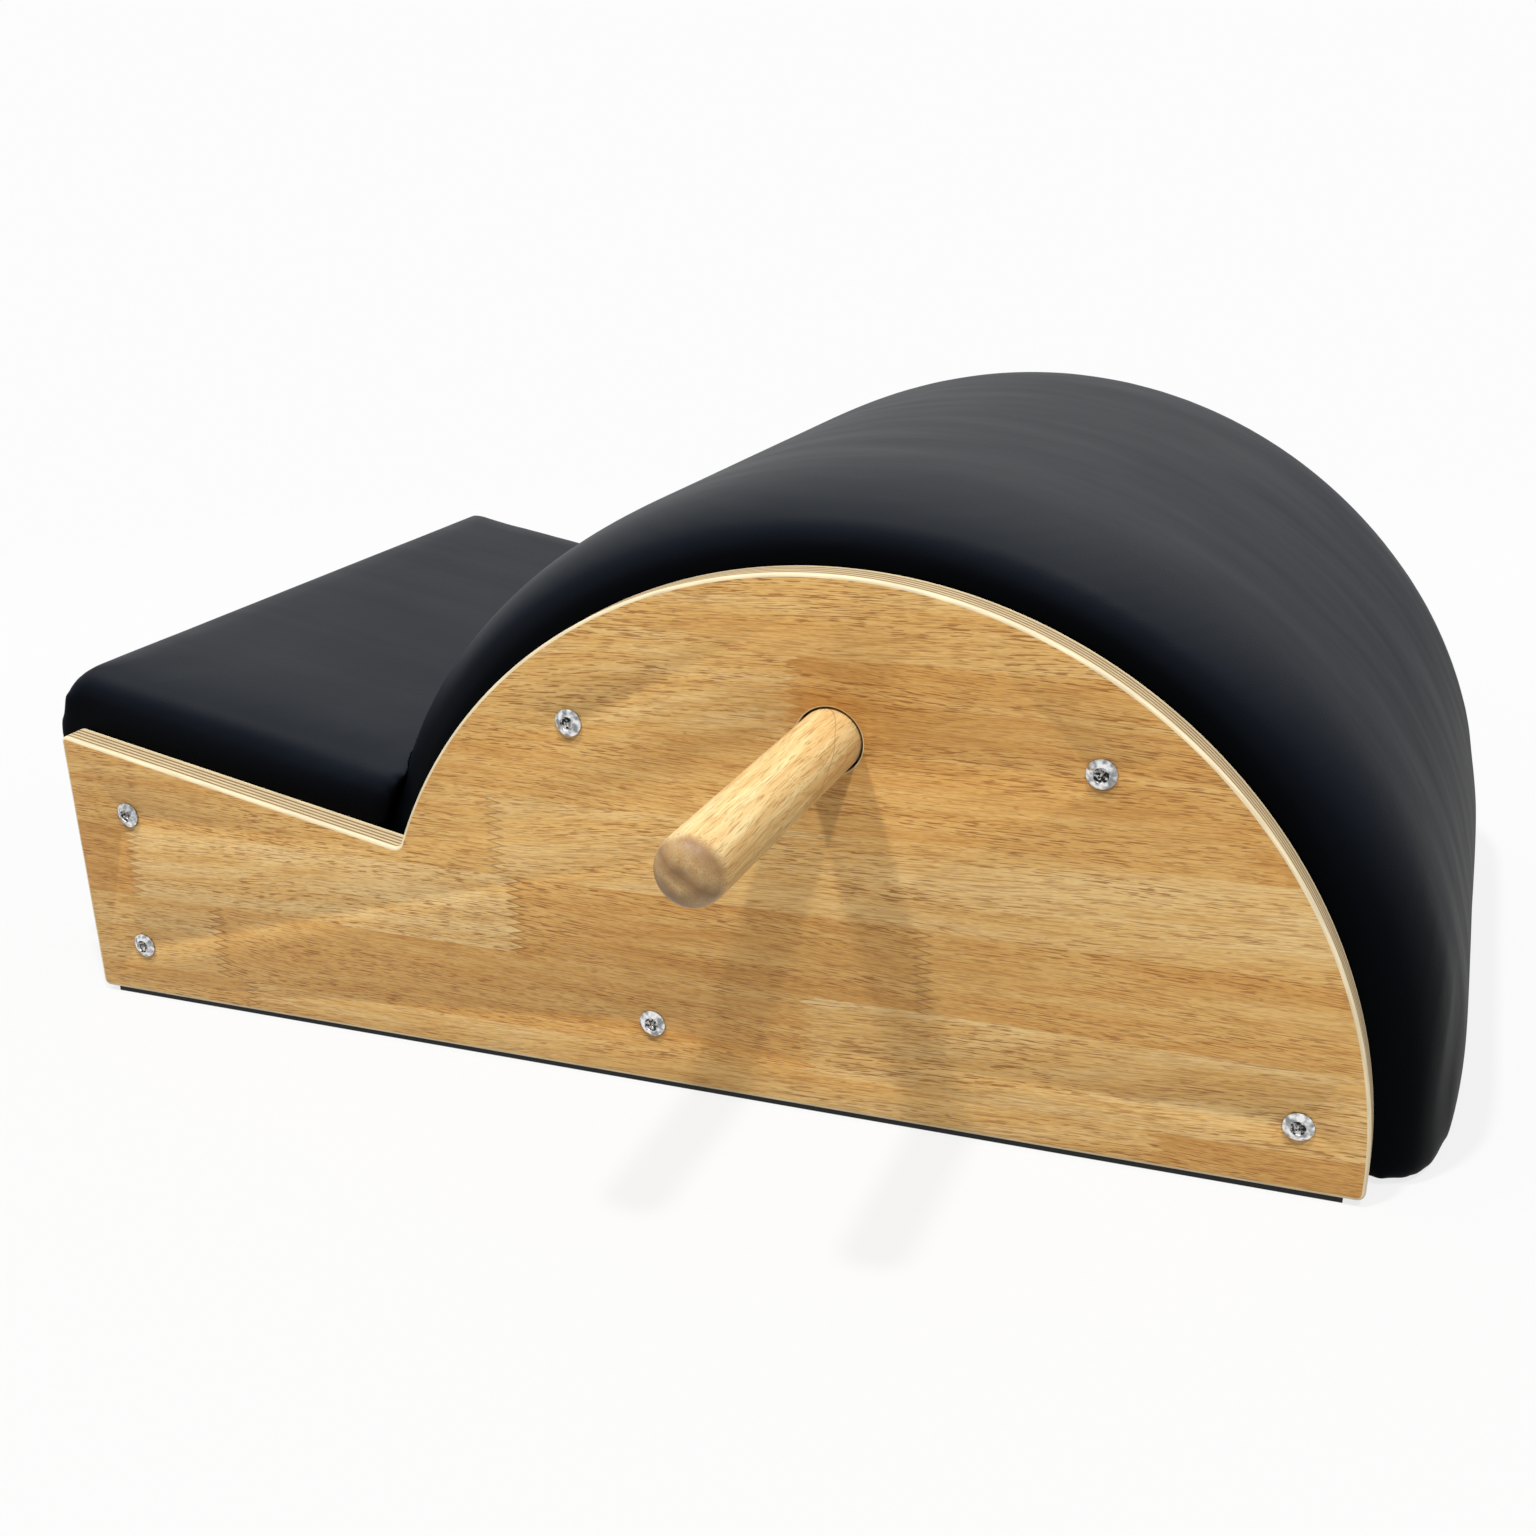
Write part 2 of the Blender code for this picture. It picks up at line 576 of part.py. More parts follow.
def barrel_pad():
    """Bent shell, foam and cover of the barrel; the cover is turned under the shell."""
    inset = COVER + GAP
    shell = object_from("barrel_shell", barrel_plain(SHELL_UNDER, SHELL_TOP, inset), PLYWOOD, 30)
    object_from("barrel_foam", barrel_padded(SHELL_TOP + GAP, PAD_RADIUS - inset, inset), FOAM, 35)
    cover = object_from("barrel_cover", barrel_padded(SHELL_UNDER - inset, PAD_RADIUS, 0), LEATHERETTE, 35)
    inside = barrel_padded(SHELL_UNDER - GAP, PAD_RADIUS - COVER, COVER)
    cut(cover, object_from("barrel_cover_inside", inside))
    cut(cover, object_from("barrel_cover_mouth", barrel_plain(SHELL_UNDER - 2 * inset, SHELL_UNDER, FLANGE)))
    holes = bmesh.new()
    for rail_place in BARREL_RAILS:
        for start, end in pad_screw_lines(rail_place):
            screw_hole(holes, start, end)
    cut(shell, object_from("shell_screw_holes", holes))


def handles():
    """Beech dowels with rounded ends, a push fit in blind sockets behind the panels."""
    inside = PLY + SOCKET_DEPTH - SOCKET_FLOOR - GAP
    length = HANDLE_OUT + inside
    steps = 5
    flat = HANDLE_RADIUS - HANDLE_END_ROUND
    profile = [(0, length), (flat, length)]
    for k in range(1, steps + 1):
        turn = math.pi / 2 * k / steps
        profile.append((flat + HANDLE_END_ROUND * math.sin(turn),
                        length - HANDLE_END_ROUND * (1 - math.cos(turn))))
    ease = PANEL_CHAMFER
    profile += [(HANDLE_RADIUS, ease), (HANDLE_RADIUS - ease, 0), (0, 0)]
    dowel = turned_mesh("handle", profile, 48, DOWEL_WOOD)
    for name, side in SIDES:
        start = world(HANDLE_X, side * (OUTER_FACE - inside), HANDLE_HEIGHT)
        stand("handle_" + name, dowel, start, Vector((0, side, 0)))
        bm = bmesh.new()
        middle = world(HANDLE_X, side * (INNER_FACE - GAP - SOCKET_DEPTH / 2), HANDLE_HEIGHT)
        block(bm, middle, (SOCKET_SIZE, SOCKET_DEPTH, SOCKET_SIZE))
        socket = object_from("handle_socket_" + name, bm, RAIL_WOOD)
        bores = bmesh.new()
        mouth = world(HANDLE_X, side * OUTER_FACE, HANDLE_HEIGHT)
        floor = world(HANDLE_X, side * (INNER_FACE - GAP - SOCKET_DEPTH + SOCKET_FLOOR), HANDLE_HEIGHT)
        rod(bores, mouth, floor, HANDLE_RADIUS + HANDLE_CLEARANCE, segments=48)
        cut(socket, object_from("socket_bores_" + name, bores))


def feet():
    """Thin rubber strips glued under the panels."""
    length = FLOOR_X - 2 * FOOT_INSET
    for name, side in SIDES:
        bm = bmesh.new()
        middle = Vector((FLOOR_X / 2 + FRAME_X, side * (INNER_FACE + PLY / 2), FOOT_HEIGHT / 2))
        block(bm, middle, (length, FOOT_WIDTH, FOOT_HEIGHT))
        object_from("foot_strip_" + name, bm, RUBBER)


def bolts():
    """Button-head bolts through the panels into threaded sleeves in the rails' ends."""
    steps = 3
    profile = [(0, HEAD_HEIGHT), (HEAD_FLAT, HEAD_HEIGHT)]
    for k in range(1, steps + 1):
        turn = math.pi / 2 * k / steps
        spread = HEAD_FLAT + (HEAD_RADIUS - HEAD_FLAT) * math.sin(turn)
        profile.append((spread, GAP + (HEAD_HEIGHT - GAP) * math.cos(turn)))
    profile += [(BOLT_RADIUS, GAP), (BOLT_RADIUS, -BOLT_LENGTH), (0, -BOLT_LENGTH)]
    bolt = turned_mesh("panel_screw", profile, 12, PLATED)
    bore = BOLT_RADIUS + HOLE_CLEARANCE
    profile = [(INSERT_RADIUS, INSERT_LENGTH), (INSERT_RADIUS, 0), (bore, 0), (bore, INSERT_LENGTH)]
    sleeve = turned_mesh("rail_insert", profile, 12, BRASS, hollow=True)
    for name, side in SIDES:
        outward = Vector((0, side, 0))
        for number, place in enumerate(bolt_places(side), 1):
            stand("panel_screw_%s_%d" % (name, number), bolt, place, outward)
            mouth = place - outward * (PLY + 2 * GAP)
            stand("rail_insert_%s_%d" % (name, number), sleeve, mouth, -outward)


def wood_screws(kind, lines):
    """Zinc-plated pan-head screws of one size, each with a shank and a point."""
    length = (lines[0][1] - lines[0][0]).length
    profile = [(0, SCREW_HEAD_HEIGHT), (SCREW_HEAD_RADIUS / 2, SCREW_HEAD_HEIGHT),
               (SCREW_HEAD_RADIUS, SCREW_HEAD_HEIGHT / 2), (SCREW_HEAD_RADIUS, GAP),
               (SCREW_RADIUS, GAP), (SCREW_RADIUS, 2 * SCREW_RADIUS - length), (0, -length)]
    screw = turned_mesh(kind, profile, 8, ZINC)
    for number, (start, end) in enumerate(lines, 1):
        stand("%s_%d" % (kind, number), screw, start, start - end)


def pad_and_cleat_screws():
    """Screws of the cleats, of the seat board and of the bent shell."""
    wood_screws("cleat_screw", [line for _, side in SIDES for line in cleat_screw_lines(side)])
    wood_screws("seat_pad_screw", seat_screw_lines())
    wood_screws("barrel_pad_screw", [line for place in BARREL_RAILS for line in pad_screw_lines(place)])


panels()
cross_rails()
cleats()
centre_rib()
seat_pad()
barrel_pad()
handles()
feet()
bolts()
pad_and_cleat_screws()
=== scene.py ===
import math

import bmesh
import bpy
from mathutils import Matrix, Vector


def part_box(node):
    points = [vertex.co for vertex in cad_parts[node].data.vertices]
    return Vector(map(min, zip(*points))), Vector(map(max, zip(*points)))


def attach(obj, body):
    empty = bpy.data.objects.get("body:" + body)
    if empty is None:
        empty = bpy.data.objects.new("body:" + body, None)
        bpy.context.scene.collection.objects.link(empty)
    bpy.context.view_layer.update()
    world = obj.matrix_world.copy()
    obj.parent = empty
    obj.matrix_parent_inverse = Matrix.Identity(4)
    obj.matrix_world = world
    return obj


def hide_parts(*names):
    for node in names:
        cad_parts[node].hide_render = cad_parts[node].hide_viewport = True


# A Pilates spine corrector. +X runs from the seat end to the barrel end, +Y from the near
# panel to the far one and +Z up, in metres.
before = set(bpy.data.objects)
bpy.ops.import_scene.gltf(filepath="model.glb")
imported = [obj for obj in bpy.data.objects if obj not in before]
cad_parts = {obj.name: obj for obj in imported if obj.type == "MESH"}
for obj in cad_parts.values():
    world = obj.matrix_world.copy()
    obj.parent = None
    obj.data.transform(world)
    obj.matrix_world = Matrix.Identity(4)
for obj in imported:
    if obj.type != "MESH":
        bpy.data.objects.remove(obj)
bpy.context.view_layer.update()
bpy.ops.object.select_all(action="DESELECT")


# Side panels
# Two 18 mm birch ply boards faced with finger-jointed rubberwood staves. A router cuts them
# out and eases their edges, and clear satin lacquer seals them. The handle and six bolts
# pass through holes in each.
panel_low, panel_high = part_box("side_panel_near")
board = panel_high.y - panel_low.y
barrel_axis = Vector((0.0948, 0, 0.0233))
barrel_radius = panel_high.z - barrel_axis.z
notch = Vector((-0.1587, 0, 0.1233))
seat_corner = Vector((panel_low.x, 0, 0.1693))
corner_round = 0.004
eased = 0.0018
handle_hole = 0.0177
bolt_hole = 0.0033
hole_eased = 0.0007
# Points that lie closer than this are taken as one place, and a face whose normal has more
# than this of an axis in it is taken to face along it.
same_place = 1e-5
facing = 0.99


def begin(name):
    """Names the primitive just added, puts its place in its mesh and opens it for editing."""
    part = bpy.context.object
    part.name = part.data.name = name
    bpy.ops.object.transform_apply(location=True, rotation=True, scale=True)
    bpy.ops.object.mode_set(mode="EDIT")
    return part


def pick(kind, wanted):
    """Selects the vertices, edges or faces of the open mesh that pass a test."""
    bpy.ops.mesh.select_mode(type=kind)
    bpy.ops.mesh.select_all(action="DESELECT")
    shape = bmesh.from_edit_mesh(bpy.context.object.data)
    for item in {"VERT": shape.verts, "EDGE": shape.edges, "FACE": shape.faces}[kind]:
        if wanted(item):
            item.select_set(True)
    shape.select_flush_mode()
    bmesh.update_edit_mesh(bpy.context.object.data)


def close(part, angle=30):
    """Ends the editing of a piece, with its faces outwards and its edges sharp past an angle."""
    bpy.ops.mesh.select_all(action="SELECT")
    bpy.ops.mesh.normals_make_consistent(inside=False)
    bpy.ops.object.mode_set(mode="OBJECT")
    bpy.ops.object.shade_smooth_by_angle(angle=math.radians(angle))


def carve(part, cutter, kept_inside=False):
    """Cuts a form out of a piece, or cuts the piece down to the form, and removes the form."""
    cut = part.modifiers.new("carve", "BOOLEAN")
    cut.operation = "INTERSECT" if kept_inside else "DIFFERENCE"
    cut.object = cutter
    cut.solver = "EXACT"
    bpy.context.view_layer.objects.active = part
    bpy.ops.object.modifier_apply(modifier=cut.name)
    bpy.data.objects.remove(cutter)


def copy_of(part, name, move):
    """A copy of a finished piece with its own mesh, moved by a matrix."""
    made = part.copy()
    made.data = part.data.copy()
    made.name = made.data.name = name
    made.data.transform(move)
    bpy.context.scene.collection.objects.link(made)
    return made


def middle(name):
    """Middle of a CAD node."""
    low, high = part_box(name)
    return (low + high) / 2


def on_rim(edge):
    """Whether an edge bounds one of a panel's two flat faces."""
    return sum(abs(face.normal.y) > facing for face in edge.link_faces) == 1


bpy.ops.mesh.primitive_circle_add(vertices=240, radius=barrel_radius, fill_type="NGON",
                                  location=(barrel_axis.x, panel_low.y, barrel_axis.z),
                                  rotation=(math.pi / 2, 0, 0))
near_panel = begin("panel_near")
bpy.ops.mesh.select_all(action="SELECT")
bpy.ops.mesh.bisect(plane_co=panel_low, plane_no=(0, 0, 1), clear_inner=True)
bpy.ops.mesh.select_all(action="SELECT")
bpy.ops.mesh.bisect(plane_co=notch, plane_no=(1, 0, 0), clear_inner=True)
pick("EDGE", lambda edge: all(abs(vert.co.x - notch.x) < same_place for vert in edge.verts))
bpy.ops.mesh.extrude_region_move(TRANSFORM_OT_translate={"value": (panel_low.x - notch.x, 0, 0)})
pick("VERT", lambda vert: abs(vert.co.x - panel_low.x) < same_place and vert.co.z > barrel_axis.z)
bpy.ops.transform.translate(value=(0, 0, seat_corner.z - notch.z))
pick("EDGE", lambda edge: len(edge.link_faces) == 2)
bpy.ops.mesh.dissolve_edges(use_verts=False)
corners = [(panel_low.x, panel_low.z), (seat_corner.x, seat_corner.z), (notch.x, notch.z),
           (panel_high.x, panel_low.z)]
pick("VERT", lambda vert: min(math.dist((vert.co.x, vert.co.z), corner)
                              for corner in corners) < corner_round / 4)
bpy.ops.mesh.bevel(offset=corner_round, segments=5, affect="VERTICES")
bpy.ops.mesh.select_all(action="SELECT")
bpy.ops.mesh.extrude_region_move(TRANSFORM_OT_translate={"value": (0, board, 0)})
bpy.ops.mesh.select_all(action="SELECT")
bpy.ops.mesh.normals_make_consistent(inside=False)
pick("EDGE", on_rim)
bpy.ops.mesh.bevel(offset=eased, segments=3, affect="EDGES")
close(near_panel)

holes = [(middle("panel_screw_near_%d" % number), bolt_hole, 24) for number in range(1, 7)]
holes.append((middle("handle_near"), handle_hole, 96))
for place, radius, sides in holes:
    bpy.ops.mesh.primitive_cylinder_add(vertices=sides, radius=radius, depth=3 * board,
                                        location=(place.x, panel_low.y, place.z),
                                        rotation=(math.pi / 2, 0, 0))
    drill = begin("drill")
    bpy.ops.object.mode_set(mode="OBJECT")
    carve(near_panel, drill)
bpy.ops.object.select_all(action="DESELECT")
near_panel.select_set(True)
bpy.ops.object.mode_set(mode="EDIT")
pick("EDGE", lambda edge: on_rim(edge) and any(
    all(math.dist((vert.co.x, vert.co.z), (place.x, place.z)) < radius + 10 * same_place
        for vert in edge.verts) for place, radius, _ in holes))
bpy.ops.mesh.bevel(offset=hole_eased, segments=2, affect="EDGES")
close(near_panel)


def linear(code):
    """Linear colour of an sRGB hex code."""
    parts = [int(code[k:k + 2], 16) / 255 for k in (1, 3, 5)]
    return tuple(c / 12.92 if c <= 0.04045 else ((c + 0.055) / 1.055) ** 2.4 for c in parts) + (1.0,)


def node(tree, kind, inputs=None, **settings):
    """Adds a node; an input is a value, an output, or a node whose first output it takes."""
    made = tree.nodes.new("ShaderNode" + kind)
    for key, value in settings.items():
        setattr(made, key, value)
    for key, value in (inputs or {}).items():
        if isinstance(value, bpy.types.Node):
            value = value.outputs[0]
        if isinstance(value, bpy.types.NodeSocket):
            tree.links.new(value, made.inputs[key])
        else:
            made.inputs[key].default_value = value
    return made


def new_material(name):
    """A new material with its tree, its shader and its object coordinates."""
    made = bpy.data.materials.new(name)
    made.use_nodes = True
    tree = made.node_tree
    return made, tree, tree.nodes["Principled BSDF"], node(tree, "TexCoord").outputs["Object"]


def set_stops(ramp, stops, interpolation="LINEAR"):
    """Gives a colour ramp its stops, as (place, hex code or linear colour) pairs."""
    ramp.color_ramp.interpolation = interpolation
    elements = ramp.color_ramp.elements
    while len(elements) > 1:
        elements.remove(elements[-1])
    for number, (place, shade) in enumerate(stops):
        stop = elements.new(place) if number else elements[0]
        stop.position = place
        stop.color = linear(shade) if isinstance(shade, str) else shade


def waves(*sizes):
    """Waves per metre along each axis of a pattern of these sizes in millimetres."""
    return tuple(1000 / size for size in sizes)


# Rubberwood in satin lacquer: yellow-tan staves 46 mm wide, planed and finger-jointed end to
# end. The grain shows as thin brown lines of 5 to 30 mm, each stave leaning its own way, and
# the glue as a thin dark line at the fingers' tips.
stave_width = 0.0462
first_stave = 0.020
finger_length = 0.0095
finger_pitch = 0.0050
glue_line = 0.0007
far_stagger = 0.17
lean_most = 0.035
drift_most = 0.014
strand_width = 0.026
panel_length = panel_high.x - panel_low.x
# Where each stave starts and how light it is, row by row from the floor up.
stave_rows = [
    [(0, 0.45), (0.112, 0.62), (0.655, 0.30)],
    [(0, 0.60), (0.094, 0.35), (0.472, 0.70)],
    [(0, 0.20), (0.038, 0.80), (0.301, 0.28), (0.535, 0.42)],
    [(0, 0.45), (0.126, 0.52), (0.293, 0.68)],
    [(0, 0.38), (0.694, 0.25)],
    [(0, 0.62), (0.469, 0.30)],
    [(0, 0.55)],
]
# Length and width of each pattern in the grain, in millimetres, and the detail of its noise.
grain_sizes = {
    "zones": (250, 8.33, 1), "rings": (286, 38.5, 0), "crowds": (111, 13.3, 1),
    "strands": (38.5, 2.38, 1), "breaks": (11.1, 2.0, 1), "lines": (20.8, 0.714, 1),
    "pores": (10.5, 0.667, 1), "flecks": (3.85, 0.769, 0)}
stave_finish, tree, shader, coords = new_material("rubberwood_staves_satin_lacquer")
place = node(tree, "SeparateXYZ", {0: coords})
far_side = node(tree, "Math", {0: place.outputs["Y"], 1: 0.0}, operation="GREATER_THAN")
far_shift = node(tree, "Math", {0: far_side, 1: -far_stagger, 2: -panel_low.x},
                 operation="MULTIPLY_ADD")
along = node(tree, "Math", {0: place.outputs["X"], 1: far_shift}, operation="ADD")
height = node(tree, "Math", {0: place.outputs["Z"], 1: panel_low.z}, operation="SUBTRACT")
row = node(tree, "Math", {0: height, 1: 1 / stave_width, 2: 1 - first_stave / stave_width},
           operation="MULTIPLY_ADD")
row = node(tree, "Math", {0: row}, operation="FLOOR")
fingers = node(tree, "Math", {0: height, 1: finger_pitch / 2}, operation="PINGPONG")
jointed = node(tree, "Math", {0: fingers, 1: 2 * finger_length / finger_pitch, 2: along},
               operation="MULTIPLY_ADD")
share = node(tree, "Math", {0: jointed, 1: 1 / panel_length, 2: -finger_length / 2 / panel_length},
             operation="MULTIPLY_ADD")
tone = unglued = 0.0
for number, staves in enumerate(stave_rows):
    levels = [(0.0, (staves[0][1],) * 3 + (1.0,))]
    for start, shade in staves[1:]:
        levels += [((start - glue_line) / panel_length, (shade,) * 3 + (0.0,)),
                   ((start + glue_line) / panel_length, (shade,) * 3 + (1.0,))]
    ramp = node(tree, "ValToRGB", {0: share})
    set_stops(ramp, levels, "CONSTANT")
    mine = node(tree, "Math", {0: row, 1: number, 2: 0.5}, operation="COMPARE")
    tone = node(tree, "Math", {0: ramp, 1: mine, 2: tone}, operation="MULTIPLY_ADD")
    unglued = node(tree, "Math", {0: ramp.outputs["Alpha"], 1: mine, 2: unglued},
                   operation="MULTIPLY_ADD")
# Each stave draws its grain from a place of its own in the noise, and leans by a sine of it.
seed = node(tree, "Math", {0: row, 1: 5.3, 2: tone}, operation="MULTIPLY_ADD")
seed = node(tree, "Math", {0: seed, 1: 7.1}, operation="MULTIPLY")
lean = node(tree, "Math", {0: seed}, operation="SINE")
lean = node(tree, "Math", {0: lean, 1: lean_most}, operation="MULTIPLY")
spot = node(tree, "CombineXYZ", {"X": along, "Y": height, "Z": seed})
drift = node(tree, "VectorMath", {0: spot, 1: waves(200, 62.5, 1000)}, operation="MULTIPLY")
drift = node(tree, "TexNoise", {"Vector": drift, "Scale": 1.0, "Detail": 1.0})
bent = node(tree, "Math", {0: drift, 1: drift_most, 2: height}, operation="MULTIPLY_ADD")
bent = node(tree, "Math", {0: along, 1: lean, 2: bent}, operation="MULTIPLY_ADD")
fibre = node(tree, "CombineXYZ", {"X": along, "Y": bent, "Z": seed})
grain = {}
for name, (length, width, detail) in grain_sizes.items():
    drawn = node(tree, "VectorMath", {0: fibre, 1: waves(length, width, 1000)}, operation="MULTIPLY")
    grain[name] = node(tree, "TexNoise", {"Vector": drawn, "Scale": 1.0, "Detail": detail})
rings = node(tree, "Math", {0: grain["rings"], 1: 14.0}, operation="MULTIPLY")
rings = node(tree, "Math", {0: rings, 1: 1.0}, operation="PINGPONG")
off_strand = node(tree, "Math", {0: grain["strands"], 1: 0.5}, operation="SUBTRACT")
off_strand = node(tree, "Math", {0: off_strand}, operation="ABSOLUTE")
whole = node(tree, "MapRange", {"Value": grain["breaks"], "From Min": 0.44, "From Max": 0.56})
strand_share = node(tree, "MapRange", {"Value": off_strand, "From Max": strand_width,
                                       "To Min": 0.55, "To Max": 0.0})
strand_share = node(tree, "Math", {0: strand_share, 1: whole}, operation="MULTIPLY")
line_share = node(tree, "MapRange", {"Value": grain["lines"], "From Min": 0.48, "From Max": 0.66,
                                     "To Max": 0.42})
crowded = node(tree, "MapRange", {"Value": grain["crowds"], "From Min": 0.36, "From Max": 0.58,
                                  "To Min": 0.3})
pore_share = node(tree, "MapRange", {"Value": grain["pores"], "From Min": 0.56, "From Max": 0.62,
                                     "To Max": 0.78})
pore_share = node(tree, "Math", {0: pore_share, 1: crowded}, operation="MULTIPLY")
glue_share = node(tree, "MapRange", {"Value": unglued, "To Min": 0.48, "To Max": 0.0})
wood = -0.085
for pattern, weight in ((grain["zones"], 0.40), (rings, 0.13), (grain["flecks"], 0.26), (tone, 0.56)):
    wood = node(tree, "Math", {0: pattern, 1: weight, 2: wood}, operation="MULTIPLY_ADD")
colour = node(tree, "ValToRGB", {0: wood})
set_stops(colour, [(0.15, "#B47E3E"), (0.42, "#D09C54"), (0.62, "#DDB16A"), (0.85, "#E9C88B")])
for marks, shade in ((line_share, "#A87034"), (strand_share, "#A0662B"), (pore_share, "#935C26"),
                     (glue_share, "#7A5228")):
    colour = node(tree, "Mix", {0: marks, 6: colour, 7: linear(shade)}, data_type="RGBA").outputs[2]
tree.links.new(colour, shader.inputs["Base Color"])
rough = node(tree, "MapRange", {"Value": grain["lines"], "From Min": 0.3, "From Max": 0.7,
                                "To Min": 0.40, "To Max": 0.54})
tree.links.new(rough.outputs[0], shader.inputs["Roughness"])
relief = node(tree, "Math", {0: pore_share, 1: -1.0}, operation="MULTIPLY")
relief = node(tree, "Math", {0: strand_share, 1: -0.6, 2: relief}, operation="MULTIPLY_ADD")
relief = node(tree, "Bump", {"Strength": 0.4, "Distance": 0.0002, "Height": relief})
tree.links.new(relief.outputs[0], shader.inputs["Normal"])
shader.inputs["Specular IOR Level"].default_value = 0.35


# The layers' edges wander by this much, in waves 45 mm long.
ripple_depth = 0.0005
ripple_length = 0.0455
veneer_blend = 0.0005


def birch_ply(name, through, sheet, veneer, pitch):
    """Birch ply, sanded: cream face veneers, and light and brown layers between them.

    through gives, from the tree and the object coordinates, the depth into the sheet.
    """
    made, tree, shader, coords = new_material(name)
    ripple = node(tree, "TexNoise", {"Vector": coords, "Scale": 1 / ripple_length, "Detail": 2.0})
    depth = node(tree, "Math", {0: ripple, 1: ripple_depth, 2: -ripple_depth / 2},
                 operation="MULTIPLY_ADD")
    depth = node(tree, "Math", {0: through(tree, coords), 1: depth}, operation="ADD")
    share = node(tree, "Math", {0: depth, 1: sheet}, operation="DIVIDE")
    layers = node(tree, "ValToRGB", {0: share})
    stops = [(0.0, "#E4D3AF"), ((veneer - veneer_blend) / sheet, "#DCCAA3")]
    count = round((sheet - 2 * veneer) / pitch)
    pitch = (sheet - 2 * veneer) / count
    for k in range(count):
        for part, shade in ((0.10, "#78603F"), (0.36, "#8C7352"), (0.58, "#D6C29C"), (0.88, "#C6AF88")):
            stops.append(((veneer + (k + part) * pitch) / sheet, shade))
    stops.append(((sheet - veneer) / sheet, "#DCCAA3"))
    set_stops(layers, stops)
    fibres = node(tree, "VectorMath", {0: coords, 1: waves(20, 0.909, 20)}, operation="MULTIPLY")
    fibres = node(tree, "TexNoise", {"Vector": fibres, "Scale": 1.0, "Detail": 1.0})
    shade = node(tree, "MapRange", {"Value": fibres, "From Min": 0.3, "From Max": 0.7,
                                    "To Min": 0.84, "To Max": 1.08})
    colour = node(tree, "VectorMath", {0: layers, "Scale": shade}, operation="SCALE")
    tree.links.new(colour.outputs[0], shader.inputs["Base Color"])
    relief = node(tree, "Bump", {"Strength": 0.3, "Distance": 0.0002, "Height": fibres})
    tree.links.new(relief.outputs[0], shader.inputs["Normal"])
    shader.inputs["Roughness"].default_value = 0.55
    return made


def from_outer_face(tree, coords):
    """Depth into either side panel from its outer face."""
    across = node(tree, "SeparateXYZ", {0: coords}).outputs["Y"]
    across = node(tree, "Math", {0: across}, operation="ABSOLUTE")
    return node(tree, "Math", {0: -panel_low.y, 1: across}, operation="SUBTRACT")


panel_edge = birch_ply("birch_ply_sanded_edge", from_outer_face, board, veneer=0.0026, pitch=0.0031)
near_panel.data.materials.append(stave_finish)
near_panel.data.materials.append(panel_edge)
for face in near_panel.data.polygons:
    face.material_index = 0 if abs(face.normal.y) > facing else 1
across_middle = Matrix.Translation((0, -panel_low.y - panel_high.y, 0))
far_panel = copy_of(near_panel, "panel_far", across_middle)
for panel, name in ((near_panel, "side_panel_near"), (far_panel, "side_panel_far")):
    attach(panel, "frame")
    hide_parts(name)


# Rails, cleats and sockets
# Planed pine battens run from panel to panel and take the bolts. Two cleats carry the seat
# board, and a glued block behind each panel holds the handle.
def planed_pine(name, rings_apart):
    """Pine with its growth rings drawn out along the grain; their sizes are in millimetres."""
    made, tree, shader, coords = new_material(name)
    rings = node(tree, "VectorMath", {0: coords, 1: waves(*rings_apart)}, operation="MULTIPLY")
    rings = node(tree, "TexNoise", {"Vector": rings, "Scale": 1.0, "Detail": 2.0, "Distortion": 0.4})
    colour = node(tree, "ValToRGB", {0: rings})
    set_stops(colour, [(0.30, "#E3CB9B"), (0.47, "#D8B983"), (0.54, "#BE935A"), (0.60, "#DEC28F"),
                       (0.75, "#CFAE78")])
    tree.links.new(colour.outputs[0], shader.inputs["Base Color"])
    relief = node(tree, "Bump", {"Strength": 0.3, "Distance": 0.0002, "Height": rings})
    tree.links.new(relief.outputs[0], shader.inputs["Normal"])
    shader.inputs["Roughness"].default_value = 0.6
    return made


def dress(names, finish):
    """Gives a material to CAD nodes that stay as they are."""
    for name in names:
        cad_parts[name].material_slots[0].material = finish


dress(["seat_end_rail_upper", "seat_end_rail_lower", "bottom_rail", "barrel_front_rail",
       "barrel_rear_rail"], planed_pine("planed_pine_rail", (4.35, 200, 4.35)))
dress(["seat_cleat_near", "seat_cleat_far", "handle_socket_near", "handle_socket_far"],
      planed_pine("planed_pine_cleat", (125, 4.76, 4.76)))


# Rib and boards
# Birch ply carries both pads: an upright rib halfway across, a flat seat board, a shell bent
# round the barrel and a strip behind its rear edge. All are sanded and left bare.
seat_slope = math.atan2(seat_corner.z - notch.z, notch.x - seat_corner.x)
seat_up = Vector((math.sin(seat_slope), 0, math.cos(seat_slope)))
seat_back = Vector((math.cos(seat_slope), 0, -math.sin(seat_slope)))
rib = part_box("centre_rib")[1].y
shell_under = 0.2525
shell = 0.012
seat_board_under = -0.018
seat_board = 0.012
strip_under = shell_under - 0.0195
strip = 0.018


def from_rib_face(tree, coords):
    """Depth into the centre rib from its near face."""
    across = node(tree, "SeparateXYZ", {0: coords}).outputs["Y"]
    return node(tree, "Math", {0: across, 1: rib}, operation="ADD")


